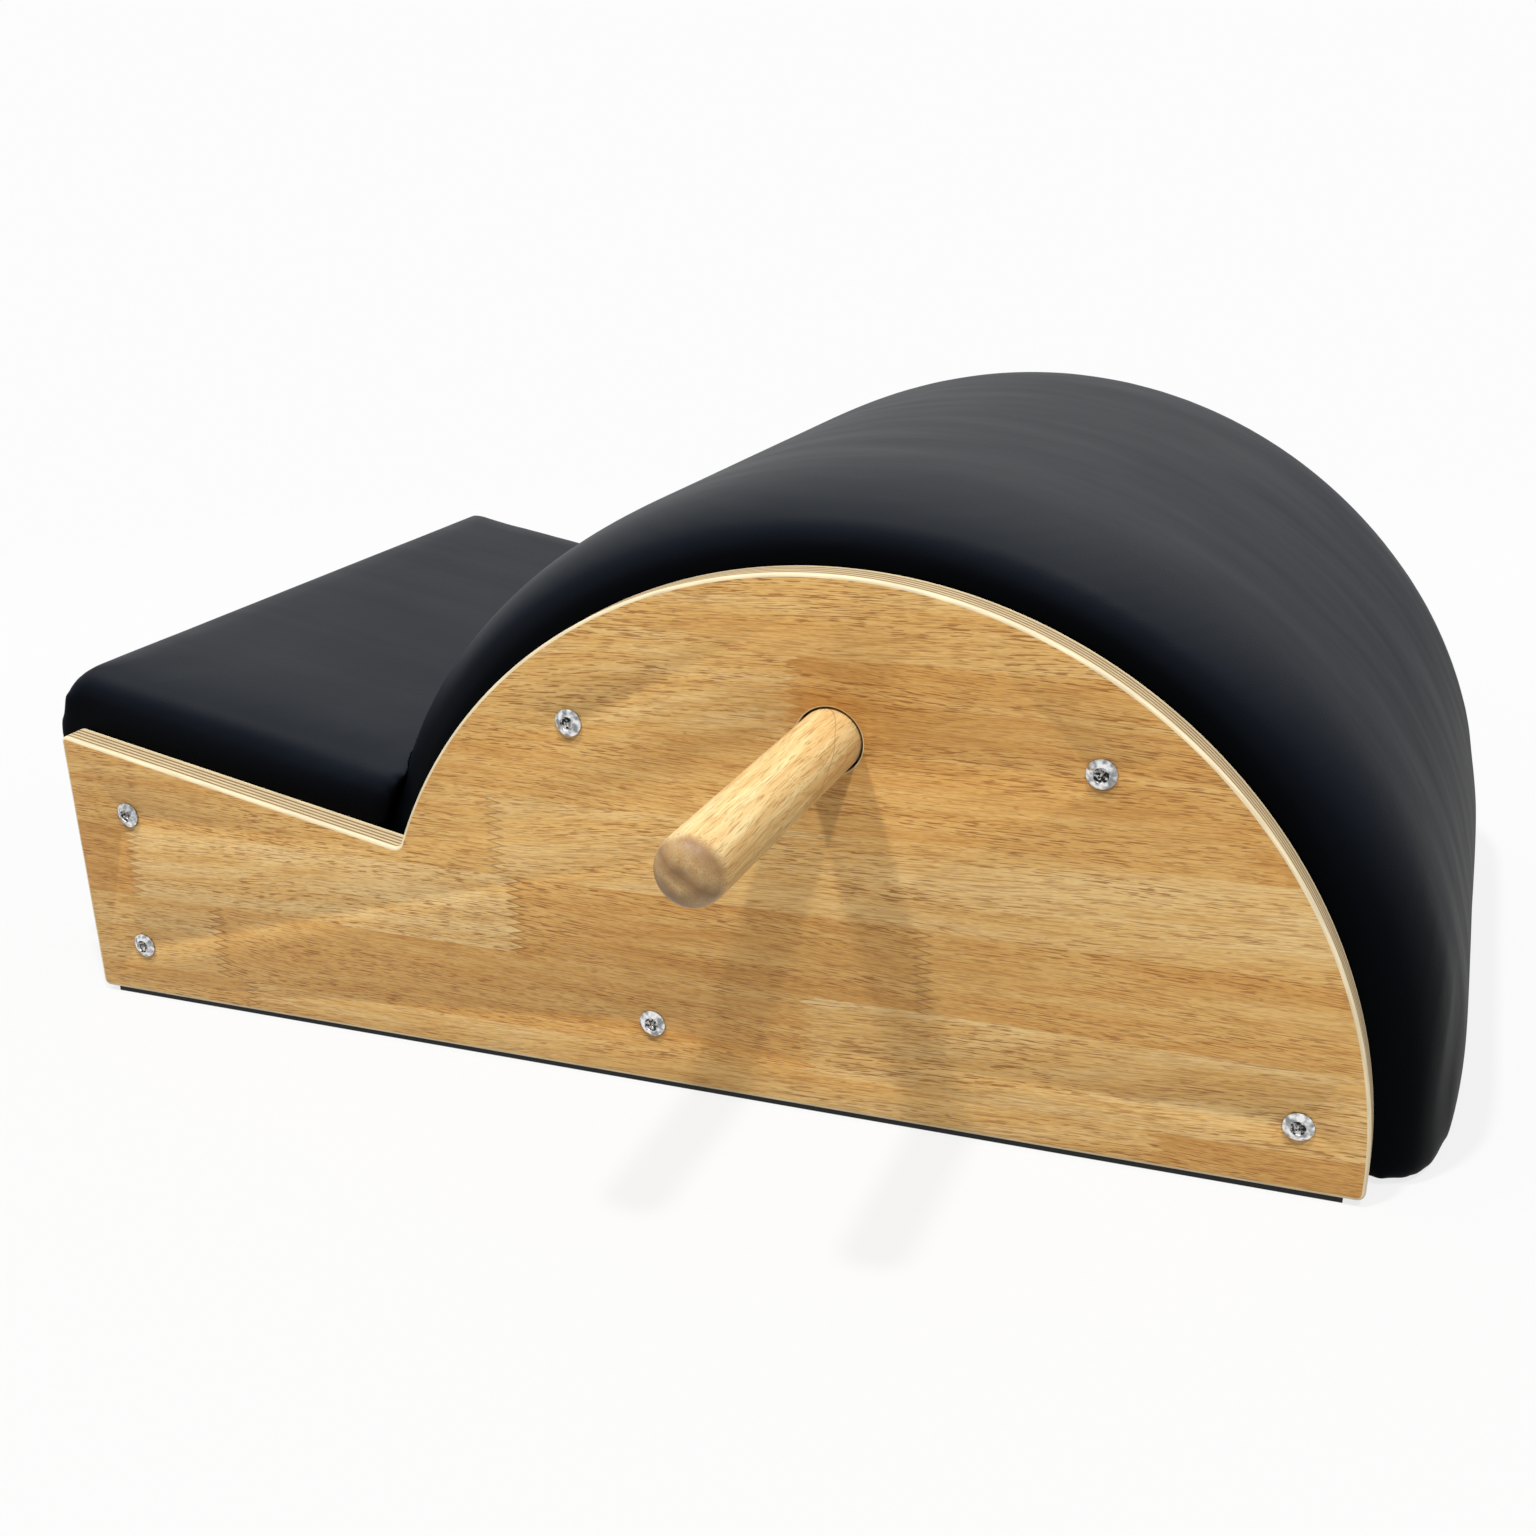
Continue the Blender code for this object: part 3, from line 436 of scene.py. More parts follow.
def from_board_underside(tree, coords):
    """Height in the seat board above its underside."""
    above = node(tree, "VectorMath", {0: coords, 1: seat_up}, operation="DOT_PRODUCT").outputs["Value"]
    return node(tree, "Math", {0: above, 1: seat_corner.dot(seat_up) + seat_board_under},
                operation="SUBTRACT")


def from_barrel(tree, coords, inner):
    """Distance out from a radius of the barrel."""
    spoke = node(tree, "VectorMath", {0: coords, 1: barrel_axis}, operation="SUBTRACT")
    spoke = node(tree, "VectorMath", {0: spoke, 1: (1, 0, 1)}, operation="MULTIPLY")
    radius = node(tree, "VectorMath", {0: spoke}, operation="LENGTH").outputs["Value"]
    return node(tree, "Math", {0: radius, 1: inner}, operation="SUBTRACT")


for name, finish, through, sheet in (
        ("centre_rib", "birch_ply_rib", from_rib_face, 2 * rib),
        ("seat_board", "birch_ply_seat_board", from_board_underside, seat_board),
        ("barrel_shell", "birch_ply_bent",
         lambda tree, coords: from_barrel(tree, coords, shell_under), shell),
        ("rear_low_strip", "birch_ply_strip",
         lambda tree, coords: from_barrel(tree, coords, strip_under), strip)):
    dress([name], birch_ply(finish, through, sheet, veneer=0.0014, pitch=0.0028))


# Barrel pad
# Black leatherette drawn tight over foam on the bent shell and stapled inside it. Its sides
# roll over in a broad curve and its ends are square.
rear_angle = math.radians(-3.6)
toe_angle = math.radians(163)
pad_half = 0.2414
pad_radius = 0.3105
barrel_crown = 0.0005
side_slack = 0.001
side_round = 0.100
side_drop = 0.035
side_fullness = 0.63
wrap = 0.0015
flange = 0.022
board_gap = 0.0003
# Extra length at the ends while the pad swells, and what is then trimmed off inside the CAD.
end_spare = 0.006
end_trim = 0.0018
# Radii well inside and well outside the pad, for the forms that cut it, and how far they run
# past its sides and ends.
core = 0.2
beyond = 0.36
past_sides = 0.01
past_ends = 0.03
mouth_depth = 0.02
cloth_frames = 20
cloth_pressure = 4
cloth_tension = 10
cloth_bending = 2
soften_rounds = 8
even_rounds = 12


def spun(name, inner, outer, half, inset, rounded=False):
    """Solid between two radii of the barrel, spun from its rear end to its toe."""
    radius = (inner + outer) / 2
    first, last = rear_angle + inset / radius, toe_angle - inset / radius
    middle_place = barrel_axis + Vector((math.cos(first), 0, math.sin(first))) * radius
    bpy.ops.mesh.primitive_plane_add(size=1, location=middle_place, rotation=(0, -first, 0))
    bpy.context.object.scale = (outer - inner, 2 * half, 1)
    made = begin(name)
    if rounded:
        pick("VERT", lambda vert: (vert.co - barrel_axis).xz.length > radius)
        bpy.ops.mesh.bevel(offset=side_drop, segments=14, profile=side_fullness, affect="VERTICES")
        for side in (-1, 1):
            pick("VERT", lambda vert: vert.co.y * side > half - side_drop - same_place)
            bpy.ops.transform.resize(value=(1, side_round / side_drop, 1),
                                     center_override=(0, side * half, 0))
    bpy.ops.mesh.select_all(action="SELECT")
    bpy.ops.mesh.spin(steps=90, angle=last - first, center=barrel_axis, axis=(0, 1, 0))
    bpy.ops.mesh.select_all(action="SELECT")
    bpy.ops.mesh.remove_doubles(threshold=same_place / 10)
    bpy.ops.mesh.select_all(action="SELECT")
    bpy.ops.mesh.fill_holes(sides=0)
    close(made)
    return made


def blow_up(cushion, held, voxel, most):
    """Swells a cushion by cloth simulation; held points stay, and none moves further than most."""
    bpy.context.view_layer.objects.active = cushion
    remesh = cushion.modifiers.new("even_mesh", "REMESH")
    remesh.voxel_size = voxel
    smooth = cushion.modifiers.new("soften", "SMOOTH")
    smooth.iterations = soften_rounds
    for modifier in (remesh, smooth):
        bpy.ops.object.modifier_apply(modifier=modifier.name)
    start = [vert.co.copy() for vert in cushion.data.vertices]
    group = cushion.vertex_groups.new(name="held")
    group.add([k for k, point in enumerate(start) if held(point)], 1.0, "REPLACE")
    cloth = cushion.modifiers.new("cloth", "CLOTH")
    cloth.settings.effector_weights.gravity = 0
    cloth.settings.use_pressure = True
    cloth.settings.uniform_pressure_force = cloth_pressure
    cloth.settings.vertex_group_mass = group.name
    cloth.settings.tension_stiffness = cloth_tension
    cloth.settings.bending_stiffness = cloth_bending
    cloth.collision_settings.use_collision = False
    for number in range(1, cloth_frames + 1):
        bpy.context.scene.frame_set(number)
    blown = cushion.evaluated_get(bpy.context.evaluated_depsgraph_get())
    swell = [last.co - first for last, first in zip(blown.data.vertices, start)]
    swell = [step * min(1.0, most / max(step.length, 1e-9)) for step in swell]
    # The swelling is evened out over each point's neighbours, so that the skin isn't wavy.
    beside = [[] for _ in start]
    for one, other in (edge.vertices for edge in cushion.data.edges):
        beside[one].append(other)
        beside[other].append(one)
    for _ in range(even_rounds):
        swell = [(swell[k] + sum((swell[j] for j in near), Vector())) / (len(near) + 1)
                 for k, near in enumerate(beside)]
    for vert, first, step in zip(cushion.data.vertices, start, swell):
        vert.co = first + step
    cushion.modifiers.remove(cloth)
    cushion.vertex_groups.remove(group)
    bpy.context.scene.frame_set(1)
    finer = cushion.modifiers.new("finer", "SUBSURF")
    finer.levels = finer.render_levels = 1
    bpy.ops.object.modifier_apply(modifier=finer.name)
    for face in cushion.data.polygons:
        face.use_smooth = True


barrel_pad = spun("barrel_pad", shell_under - wrap, pad_radius - barrel_crown, pad_half - side_slack,
                  -end_spare, rounded=True)
blow_up(barrel_pad, lambda point: (point - barrel_axis).xz.length < shell_under + shell,
        voxel=0.006, most=0.003)
carve(barrel_pad, spun("ends_form", core, beyond, beyond, -end_trim), kept_inside=True)
barrel_form = copy_of(barrel_pad, "barrel_form", Matrix())
carve(barrel_pad, spun("shell_form", shell_under - board_gap, shell_under + shell + board_gap,
                       pad_half - 4 * board_gap, 4 * board_gap))
carve(barrel_pad, spun("mouth_form", shell_under - mouth_depth, shell_under, pad_half - flange,
                       flange))

# Black PVC leatherette: satin and nearly black, with painted light that makes it paler on faces
# that look up and higher on the barrel, in random patches. Its pebbled grain is drawn at 1 mm so that it
# shows, over faint stretch marks.
pebble_size = 0.001
crease_size = 0.00385
patch_size = 0.0714
mark_length = 0.1294
mark_width = 0.0294
leatherette, tree, shader, coords = new_material("black_leatherette_embossed")
spoke = node(tree, "VectorMath", {0: coords, 1: barrel_axis}, operation="SUBTRACT")
spoke = node(tree, "SeparateXYZ", {0: spoke})
turn = node(tree, "Math", {0: spoke.outputs["Z"], 1: spoke.outputs["X"]}, operation="ARCTAN2")
stretch = node(tree, "CombineXYZ", {"X": turn, "Y": spoke.outputs["Y"]})
stretch = node(tree, "VectorMath", {0: stretch, 1: (pad_radius / mark_length, 1 / mark_width, 0)},
               operation="MULTIPLY")
stretch = node(tree, "TexNoise", {"Vector": stretch, "Scale": 1.0, "Detail": 3.0, "Roughness": 0.55})
patches = node(tree, "TexNoise", {"Vector": coords, "Scale": 1 / patch_size, "Detail": 2.0})
pebbles = node(tree, "TexVoronoi", {"Vector": coords, "Scale": 1 / pebble_size})
creases = node(tree, "TexNoise", {"Vector": coords, "Scale": 1 / crease_size, "Detail": 3.0})
# Painted light: the colour runs from near black on the sides, through navy on the shoulders, to pale
# grey the more a face looks up and the higher it stands.
level = node(tree, "SeparateXYZ", {0: node(tree, "TexCoord").outputs["Normal"]}).outputs["Z"]
level = node(tree, "Math", {0: level, 1: 0.0}, operation="MAXIMUM")
level = node(tree, "Math", {0: level, 1: 1.8}, operation="POWER")
painted_light_and_patches = node(tree, "MapRange", {"Value": spoke.outputs["Z"], "From Min": 0.12, "From Max": 0.27,
                               "To Min": 0.58, "To Max": 0.95})
painted_light_and_patches = node(tree, "Math", {0: patches, 1: 0.3, 2: painted_light_and_patches}, operation="MULTIPLY_ADD")
painted_top_light = node(tree, "Math", {0: painted_light_and_patches, 1: level}, operation="MULTIPLY", use_clamp=True)
colour = node(tree, "ValToRGB", {0: painted_top_light})
set_stops(colour, [(0.0, "#010204"), (0.29, "#11151C"), (1.0, "#2D2F32")])
tree.links.new(colour.outputs[0], shader.inputs["Base Color"])
rough = node(tree, "MapRange", {"Value": stretch, "From Min": 0.3, "From Max": 0.7,
                                "To Min": 0.42, "To Max": 0.50})
tree.links.new(rough.outputs[0], shader.inputs["Roughness"])
relief = node(tree, "Math", {0: creases, 1: 0.8, 2: pebbles}, operation="MULTIPLY_ADD")
relief = node(tree, "Bump", {"Strength": 0.25, "Distance": 0.0002, "Height": relief})
relief = node(tree, "Bump", {"Strength": 0.07, "Distance": 0.0006, "Height": stretch, "Normal": relief})
tree.links.new(relief.outputs[0], shader.inputs["Normal"])
shader.inputs["Specular IOR Level"].default_value = 0.025
barrel_pad.data.materials.clear()
barrel_pad.data.materials.append(leatherette)
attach(barrel_pad, "frame")
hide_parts("barrel_cover", "barrel_foam")


# Seat pad
# The same leatherette over foam on the flat seat board, stapled beneath it. It is pushed
# against the barrel, so it is hollowed behind to fit, and its top edges are rounded.
seat_front = -0.0182
seat_rear = 0.32
seat_top = 0.0395
seat_round = 0.036
seat_fullness = 0.62
seat_crown = 0.0015
pad_squeeze = 0.0004
# The block first runs on into the barrel, to rear_corner, and the barrel's own form then cuts
# it back, so that the joint is one clean line. Under the barrel's toe it stops at rear_hollow.
rear_hollow = 0.3115
rear_corner = 0.294
toe_lap = math.radians(1.2)
held_behind = 0.005


def is_seat_rim(edge, high):
    """Whether an edge runs along the top of the seat block's front or of one of its sides."""
    ends = [vert.co - seat_corner for vert in edge.verts]
    return (min(end.dot(seat_up) for end in ends) > high - 10 * same_place
            and min(end.dot(seat_back) for end in ends) < seat_rear - 10 * same_place)


def seat_block(name, low, high, inset, hollow):
    """Box of the seat pad between two heights above its slope, hollowed behind to a radius."""
    front = seat_front + inset
    place = seat_corner + seat_back * (front + seat_rear) / 2 + seat_up * (low + high) / 2
    bpy.ops.mesh.primitive_cube_add(size=1, location=place, rotation=(0, seat_slope, 0),
                                    scale=(seat_rear - front, 2 * (pad_half - inset), high - low))
    made = begin(name)
    pick("EDGE", lambda edge: high > 0 and is_seat_rim(edge, high))
    bpy.ops.mesh.bevel(offset=seat_round, segments=10, profile=seat_fullness, affect="EDGES")
    close(made)
    carve(made, spun("rear_form", core, hollow, pad_half + past_sides, -past_ends))
    return made


seat_pad = seat_block("seat_pad", seat_board_under - wrap, seat_top - seat_crown, -pad_squeeze,
                      rear_corner)
blow_up(seat_pad, lambda point: (point - seat_corner).dot(seat_up) < 0.0
        or (point - barrel_axis).xz.length < rear_corner + held_behind, voxel=0.004, most=0.0022)
grow = barrel_form.modifiers.new("joint", "DISPLACE")
grow.strength = pad_squeeze
grow.mid_level = 0.0
bpy.context.view_layer.objects.active = barrel_form
bpy.ops.object.modifier_apply(modifier=grow.name)
carve(seat_pad, barrel_form)
whole_form = spun("whole_form", core, rear_hollow, pad_half + past_sides, 0.0)
below_toe = Matrix.Rotation(rear_angle + toe_lap - toe_angle, 4, "Y")
below_toe = Matrix.Translation(barrel_axis) @ below_toe @ Matrix.Translation(-barrel_axis)
carve(seat_pad, copy_of(whole_form, "toe_form", below_toe))
bpy.data.objects.remove(whole_form)
carve(seat_pad, seat_block("board_form", seat_board_under - board_gap,
                           seat_board_under + seat_board + board_gap, wrap - board_gap,
                           rear_hollow + wrap - board_gap))
carve(seat_pad, seat_block("mouth_form", seat_board_under - mouth_depth, seat_board_under,
                           flange, rear_hollow + flange))
seat_pad.data.materials.clear()
seat_pad.data.materials.append(leatherette)
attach(seat_pad, "frame")
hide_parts("seat_cover", "seat_foam")


# Handles
# Beech dowels, turned and sanded, with a rounded outer end that has a small flat left by the
# lathe centre. They are sealed with clear lacquer and slide into the panels.
handle_low, handle_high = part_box("handle_near")
handle_place = (handle_low + handle_high) / 2
handle_radius = (handle_high.x - handle_low.x) / 2
end_round = 0.012
inner_round = 0.0015
lathe_mark = 0.0008
lathe_dent = 0.0002
bpy.ops.mesh.primitive_cylinder_add(vertices=72, radius=handle_radius,
                                    depth=handle_high.y - handle_low.y,
                                    location=handle_place, rotation=(math.pi / 2, 0, 0))
near_handle = begin("grip_near")
pick("EDGE", lambda edge: all(vert.co.y < handle_low.y + same_place for vert in edge.verts))
bpy.ops.mesh.bevel(offset=end_round, segments=12, affect="EDGES")
pick("FACE", lambda face: face.normal.y < -facing and len(face.verts) > 4)
bpy.ops.mesh.inset(thickness=lathe_mark, depth=-lathe_dent)
pick("EDGE", lambda edge: all(vert.co.y > handle_high.y - same_place for vert in edge.verts))
bpy.ops.mesh.bevel(offset=inner_round, segments=2, affect="EDGES")
close(near_handle, 40)

# Turned beech in satin lacquer: pale pinkish tan, crowded with short thin brown rays along the
# grain, a growth ring crossing it slantwise now and then, and end grain that drank more
# lacquer and went darker.
wander_most = 0.004
ring_gap = 0.045
ring_start = 0.1331
ring_width = 0.0006
year_gap = 0.0052
year_edge = 0.001
end_blend = 0.0005
# The tree's heart lay far outside the dowel, so its years cross the end grain as flat arcs.
heart_place = Vector((0.0998, 0, 0.2108))
beech, tree, shader, coords = new_material("turned_beech_satin_lacquer")
place = node(tree, "VectorMath", {0: coords, 1: handle_place}, operation="SUBTRACT")
place = node(tree, "SeparateXYZ", {0: place})
reach = node(tree, "SeparateXYZ", {0: coords}).outputs["Y"]
reach = node(tree, "Math", {0: reach}, operation="ABSOLUTE")
from_end = node(tree, "Math", {0: -handle_low.y, 1: reach}, operation="SUBTRACT")
straight = node(tree, "CombineXYZ", {"X": place.outputs["X"], "Y": reach, "Z": place.outputs["Z"]})
wander = node(tree, "VectorMath", {0: straight, 1: waves(16.7, 45.5, 16.7)}, operation="MULTIPLY")
wander = node(tree, "TexNoise", {"Vector": wander, "Scale": 1.0, "Detail": 1.0})
wander = node(tree, "VectorMath", {0: wander.outputs["Color"], "Scale": wander_most}, operation="SCALE")
grown = node(tree, "VectorMath", {0: straight, 1: wander}, operation="ADD")
slant = node(tree, "VectorMath", {0: grown, 1: (-0.5, 0.45, 0.9)}, operation="DOT_PRODUCT")
ring = node(tree, "Math", {0: slant.outputs["Value"], 1: ring_start}, operation="SUBTRACT")
ring = node(tree, "Math", {0: ring, 1: ring_gap}, operation="PINGPONG")
ring = node(tree, "MapRange", {"Value": ring, "From Min": ring_width, "From Max": 0.0, "To Max": 0.5})
rays = node(tree, "VectorMath", {0: grown, 1: waves(0.435, 16.7, 0.435)}, operation="MULTIPLY")
rays = node(tree, "TexNoise", {"Vector": rays, "Scale": 1.0, "Detail": 1.0})
rays = node(tree, "MapRange", {"Value": rays, "From Min": 0.55, "From Max": 0.63, "To Max": 0.58})
fibres = node(tree, "VectorMath", {0: grown, 1: waves(3.85, 62.5, 3.85)}, operation="MULTIPLY")
fibres = node(tree, "TexNoise", {"Vector": fibres, "Scale": 1.0, "Detail": 3.0})
year = node(tree, "VectorMath", {0: grown, 1: heart_place}, operation="SUBTRACT")
year = node(tree, "VectorMath", {0: year, 1: (1.0, 0.0, 0.8)}, operation="MULTIPLY")
year = node(tree, "VectorMath", {0: year}, operation="LENGTH").outputs["Value"]
year = node(tree, "Math", {0: year, 1: year_gap}, operation="PINGPONG")
year = node(tree, "MapRange", {"Value": year, "From Min": year_edge, "From Max": year_gap,
                               "To Min": 0.58, "To Max": 0.92})
end_share = node(tree, "MapRange", {"Value": from_end, "From Min": end_round - end_blend,
                                    "From Max": end_round / 2})
end_share = node(tree, "Math", {0: end_share, 1: year}, operation="MULTIPLY")
colour = node(tree, "ValToRGB", {0: fibres})
set_stops(colour, [(0.28, "#D0A66A"), (0.48, "#DDBB80"), (0.68, "#E9D099")])
for marks, shade in ((ring, "#7E5430"), (rays, "#94693A"), (end_share, "#835F3B")):
    colour = node(tree, "Mix", {0: marks, 6: colour, 7: linear(shade)}, data_type="RGBA").outputs[2]
tree.links.new(colour, shader.inputs["Base Color"])
relief = node(tree, "Math", {0: rays, 1: -1.0, 2: fibres}, operation="MULTIPLY_ADD")
relief = node(tree, "Bump", {"Strength": 0.4, "Distance": 0.0002, "Height": relief})
tree.links.new(relief.outputs[0], shader.inputs["Normal"])
shader.inputs["Roughness"].default_value = 0.45
shader.inputs["Specular IOR Level"].default_value = 0.4
near_handle.data.materials.append(beech)
about_middle = Matrix.Translation((handle_place.x, 0, 0))
half_turn = about_middle @ Matrix.Rotation(math.pi, 4, "Z") @ about_middle.inverted()
far_handle = copy_of(near_handle, "grip_far", half_turn)
for handle, name in ((near_handle, "handle_near"), (far_handle, "handle_far")):
    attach(handle, name)
    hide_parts(name)


# Bolts and screws
# Cross-recess button heads of nickel-plated steel hold the panels: six a side, each screwed
# into a brass insert in a rail's end. Zinc-plated pan heads hold the cleats and the pads.
bolt_low, bolt_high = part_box("panel_screw_near_1")
bolt_place = (bolt_low + bolt_high) / 2
head_radius = (bolt_high.x - bolt_low.x) / 2
head_rise = panel_low.y - bolt_low.y
head_lift = 0.0003
rim = 0.0007
dome_steps = 9
dome_radius = (head_radius ** 2 + (head_rise - rim) ** 2) / (2 * (head_rise - rim))
shank_radius = 0.003
slot_length = 0.0074
slot_width = 0.0019
slot_depth = 0.0025
slot_taper = (0.42, 1, 0.6)
point_radius = 0.0028
point_length = 0.0056
point_sink = 0.0008
dish_radius = 0.0046
dish_floor = 0.0036
dish_depth = 0.0013
least_sunk = 0.0003
turning_marks = 0.00111
painted_reflection_spots = 0.00303
painted_recess_spots = 0.00167


def dome_height(out):
    """Height of the head's dome above the panel at a distance from the bolt's middle."""
    return head_rise - dome_radius + math.sqrt(dome_radius ** 2 - min(out, head_radius) ** 2)


bpy.ops.mesh.primitive_cylinder_add(vertices=48, radius=head_radius, depth=rim - head_lift,
                                    location=(bolt_place.x, panel_low.y - (rim + head_lift) / 2,
                                              bolt_place.z), rotation=(math.pi / 2, 0, 0))
bolt = begin("bolt_near_1")
spread, rise = head_radius, rim
for step in range(1, dome_steps + 1):
    pick("FACE", lambda face: face.normal.y < -facing and len(face.verts) > 4)
    next_spread = head_radius * (1 - step / (dome_steps + 1))
    next_rise = dome_height(next_spread)
    bpy.ops.mesh.inset(thickness=spread - next_spread, depth=next_rise - rise)
    spread, rise = next_spread, next_rise
pick("FACE", lambda face: face.normal.y > facing and len(face.verts) > 4)
bpy.ops.mesh.inset(thickness=head_radius - shank_radius, depth=0)
shank = bolt_high.y - (panel_low.y - head_lift)
bpy.ops.mesh.extrude_region_move(TRANSFORM_OT_translate={"value": (0, shank, 0)})
close(bolt, 25)
# The recess is a tapered cross with a point at its bottom, in a shallow round dish.
for turn in (45, -45):
    bpy.ops.mesh.primitive_cube_add(size=1, location=(bolt_place.x, bolt_low.y, bolt_place.z),
                                    rotation=(0, math.radians(turn), 0),
                                    scale=(slot_length, 2 * slot_depth, slot_width))
    slot_form = begin("slot_form")
    pick("FACE", lambda face: face.normal.y > facing)
    bpy.ops.transform.resize(value=slot_taper, center_override=bolt_place)
    close(slot_form)
    carve(bolt, slot_form)
for name, sides, wide, narrow, depth, sink in (
        ("point_form", 24, point_radius, 0.0, point_length, point_sink),
        ("dish_form", 36, dish_radius, dish_floor, 2 * dish_depth, 0.0)):
    bpy.ops.mesh.primitive_cone_add(vertices=sides, radius1=wide, radius2=narrow, depth=depth,
                                    location=(bolt_place.x, bolt_low.y + sink, bolt_place.z),
                                    rotation=(-math.pi / 2, 0, 0))
    round_form = begin(name)
    close(round_form)
    carve(bolt, round_form)

# Nickel plate over turned steel: mid grey with a bright highlight and faint turning marks, drawn 1 to 3
# mm wide so that they show;
# its tone is mottled from mid grey to near white in spots of 3 mm as painted reflections.
nickel, tree, shader, coords = new_material("nickel_plated_steel")
marks = node(tree, "TexNoise", {"Vector": coords, "Scale": 1 / turning_marks, "Detail": 2.0})
rough = node(tree, "MapRange", {"Value": marks, "From Min": 0.3, "From Max": 0.7,
                                "To Min": 0.14, "To Max": 0.24})
tree.links.new(rough.outputs[0], shader.inputs["Roughness"])
# Painted reflections: the base colour is mottled from mid grey to near white.
marks = node(tree, "TexNoise", {"Vector": coords, "Scale": 1 / painted_reflection_spots, "Detail": 1.0})
tint = node(tree, "ValToRGB", {0: marks})
set_stops(tint, [(0.34, "#8C8D8E"), (0.48, "#BDBEBF"), (0.62, "#EDEDED")])
tree.links.new(tint.outputs[0], shader.inputs["Base Color"])
shader.inputs["Metallic"].default_value = 1.0

# The recess and the head's outside walls take a dark material as painted shade, mottled with lighter
# spots of 2 mm as painted reflections.
painted_recess_shade, tree, shader, coords = new_material("steel_recess_painted_shade")
painted_recess_mottle = node(tree, "TexNoise", {"Vector": coords, "Scale": 1 / painted_recess_spots, "Detail": 1.0})
tint = node(tree, "ValToRGB", {0: painted_recess_mottle})
set_stops(tint, [(0.42, "#2B2A28"), (0.58, "#C4C3C0")])
tree.links.new(tint.outputs[0], shader.inputs["Base Color"])
shader.inputs["Metallic"].default_value = 1.0
shader.inputs["Roughness"].default_value = 0.4
bolt.data.materials.clear()
bolt.data.materials.append(nickel)
bolt.data.materials.append(painted_recess_shade)
# Faces sunk in the recess, and the walls outside the panel, take the painted shade; on the head's rim it
# is a painted dark ring of contact shadow.
for face in bolt.data.polygons:
    out = math.dist((face.center.x, face.center.z), (bolt_place.x, bolt_place.z))
    outside = face.center.y < panel_low.y
    sunk = out < point_radius and face.center.y > panel_low.y - dome_height(out) + least_sunk
    walled = abs(face.normal.y) < 0.6
    face.material_index = 1 if outside and (sunk or walled) else 0
for side, turn in (("near", 0.0), ("far", math.pi)):
    for number in range(1, 7):
        name = "panel_screw_%s_%d" % (side, number)
        move = Matrix.Translation(middle(name)) @ Matrix.Rotation(turn, 4, "Z")
        made = copy_of(bolt, "bolt_%s_%d" % (side, number), move @ Matrix.Translation(-bolt_place))
        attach(made, "frame")
        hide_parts(name)
bpy.data.objects.remove(bolt)


plain_spots = 0.002
gloss_spread = 0.06


def plain_metal(name, dark, light, roughness):
    """Metal whose plating or turning varies a little in tone and gloss, in spots of 2 mm."""
    made, tree, shader, coords = new_material(name)
    spots = node(tree, "TexNoise", {"Vector": coords, "Scale": 1 / plain_spots, "Detail": 2.0})
    tint = node(tree, "ValToRGB", {0: spots})
    set_stops(tint, [(0.3, dark), (0.7, light)])
    tree.links.new(tint.outputs[0], shader.inputs["Base Color"])
    rough = node(tree, "MapRange", {"Value": spots, "From Min": 0.3, "From Max": 0.7,
                                    "To Min": roughness - gloss_spread,
                                    "To Max": roughness + gloss_spread})
    tree.links.new(rough.outputs[0], shader.inputs["Roughness"])
    shader.inputs["Metallic"].default_value = 1.0
    return made


dress(["rail_insert_%s_%d" % (side, number) for side in ("near", "far") for number in range(1, 7)],
      plain_metal("turned_brass", "#B08D4A", "#C9A75F", 0.32))
dress(["%s_%d" % (kind, number) for kind in ("cleat_screw", "seat_pad_screw", "barrel_pad_screw")
       for number in range(1, 5)], plain_metal("zinc_plated_steel", "#A3A8AC", "#BDC2C4", 0.36))


# Foot strips
# Thin black rubber strips glued under the panels, which fill the gap along the floor and stand in for
# its dark contact shadow as painted shade. The rubber is matt, with fine pits.
pit_size = 0.00143
rubber, tree, shader, coords = new_material("black_rubber_sheet_contact_shade")
pitting = node(tree, "TexNoise", {"Vector": coords, "Scale": 1 / pit_size, "Detail": 2.0})
tint = node(tree, "ValToRGB", {0: pitting})
set_stops(tint, [(0.3, "#121212"), (0.7, "#1C1C1B")])
tree.links.new(tint.outputs[0], shader.inputs["Base Color"])
relief = node(tree, "Bump", {"Strength": 0.4, "Distance": 0.0002, "Height": pitting})
tree.links.new(relief.outputs[0], shader.inputs["Normal"])
shader.inputs["Roughness"].default_value = 0.8
dress(["foot_strip_near", "foot_strip_far"], rubber)


# Floor, light and camera
# A plain white studio: the floor and the backdrop show white, two soft overhead lamps cast
# the handle's pair of shadows, and the camera stands where the photograph was taken.
backdrop = 0.975
ambient_low = 0.15
ambient_high = 0.60
# The floor takes shadows near the object and turns plain white between these two distances.
shaded_to = 0.7
plain_from = 1.6
shaded_part = 0.72
near_glow = 1.09
floor_grey = 0.42
lamp_strength = 2.0
lamp_width = math.radians(4)
lamps = (("lamp_right", (0.30, -0.28, 0.91)), ("lamp_left", (-0.25, -0.26, 0.93)))
lens = 41.34
sensor = 36
camera_place = Vector((0.380677, -1.031068, 0.495607))
camera_right = Vector((0.930148, 0.365637, -0.033678))
camera_up = Vector((-0.095011, 0.328262, 0.939796))


def seen_directly(tree):
    """1 for what the camera sees, or sees in metal or through glass, and 0 for other rays."""
    rays = node(tree, "LightPath").outputs
    seen = node(tree, "Math", {0: rays["Is Camera Ray"], 1: rays["Is Glossy Ray"]}, operation="MAXIMUM")
    return node(tree, "Math", {0: seen, 1: rays["Is Transmission Ray"]}, operation="MAXIMUM")


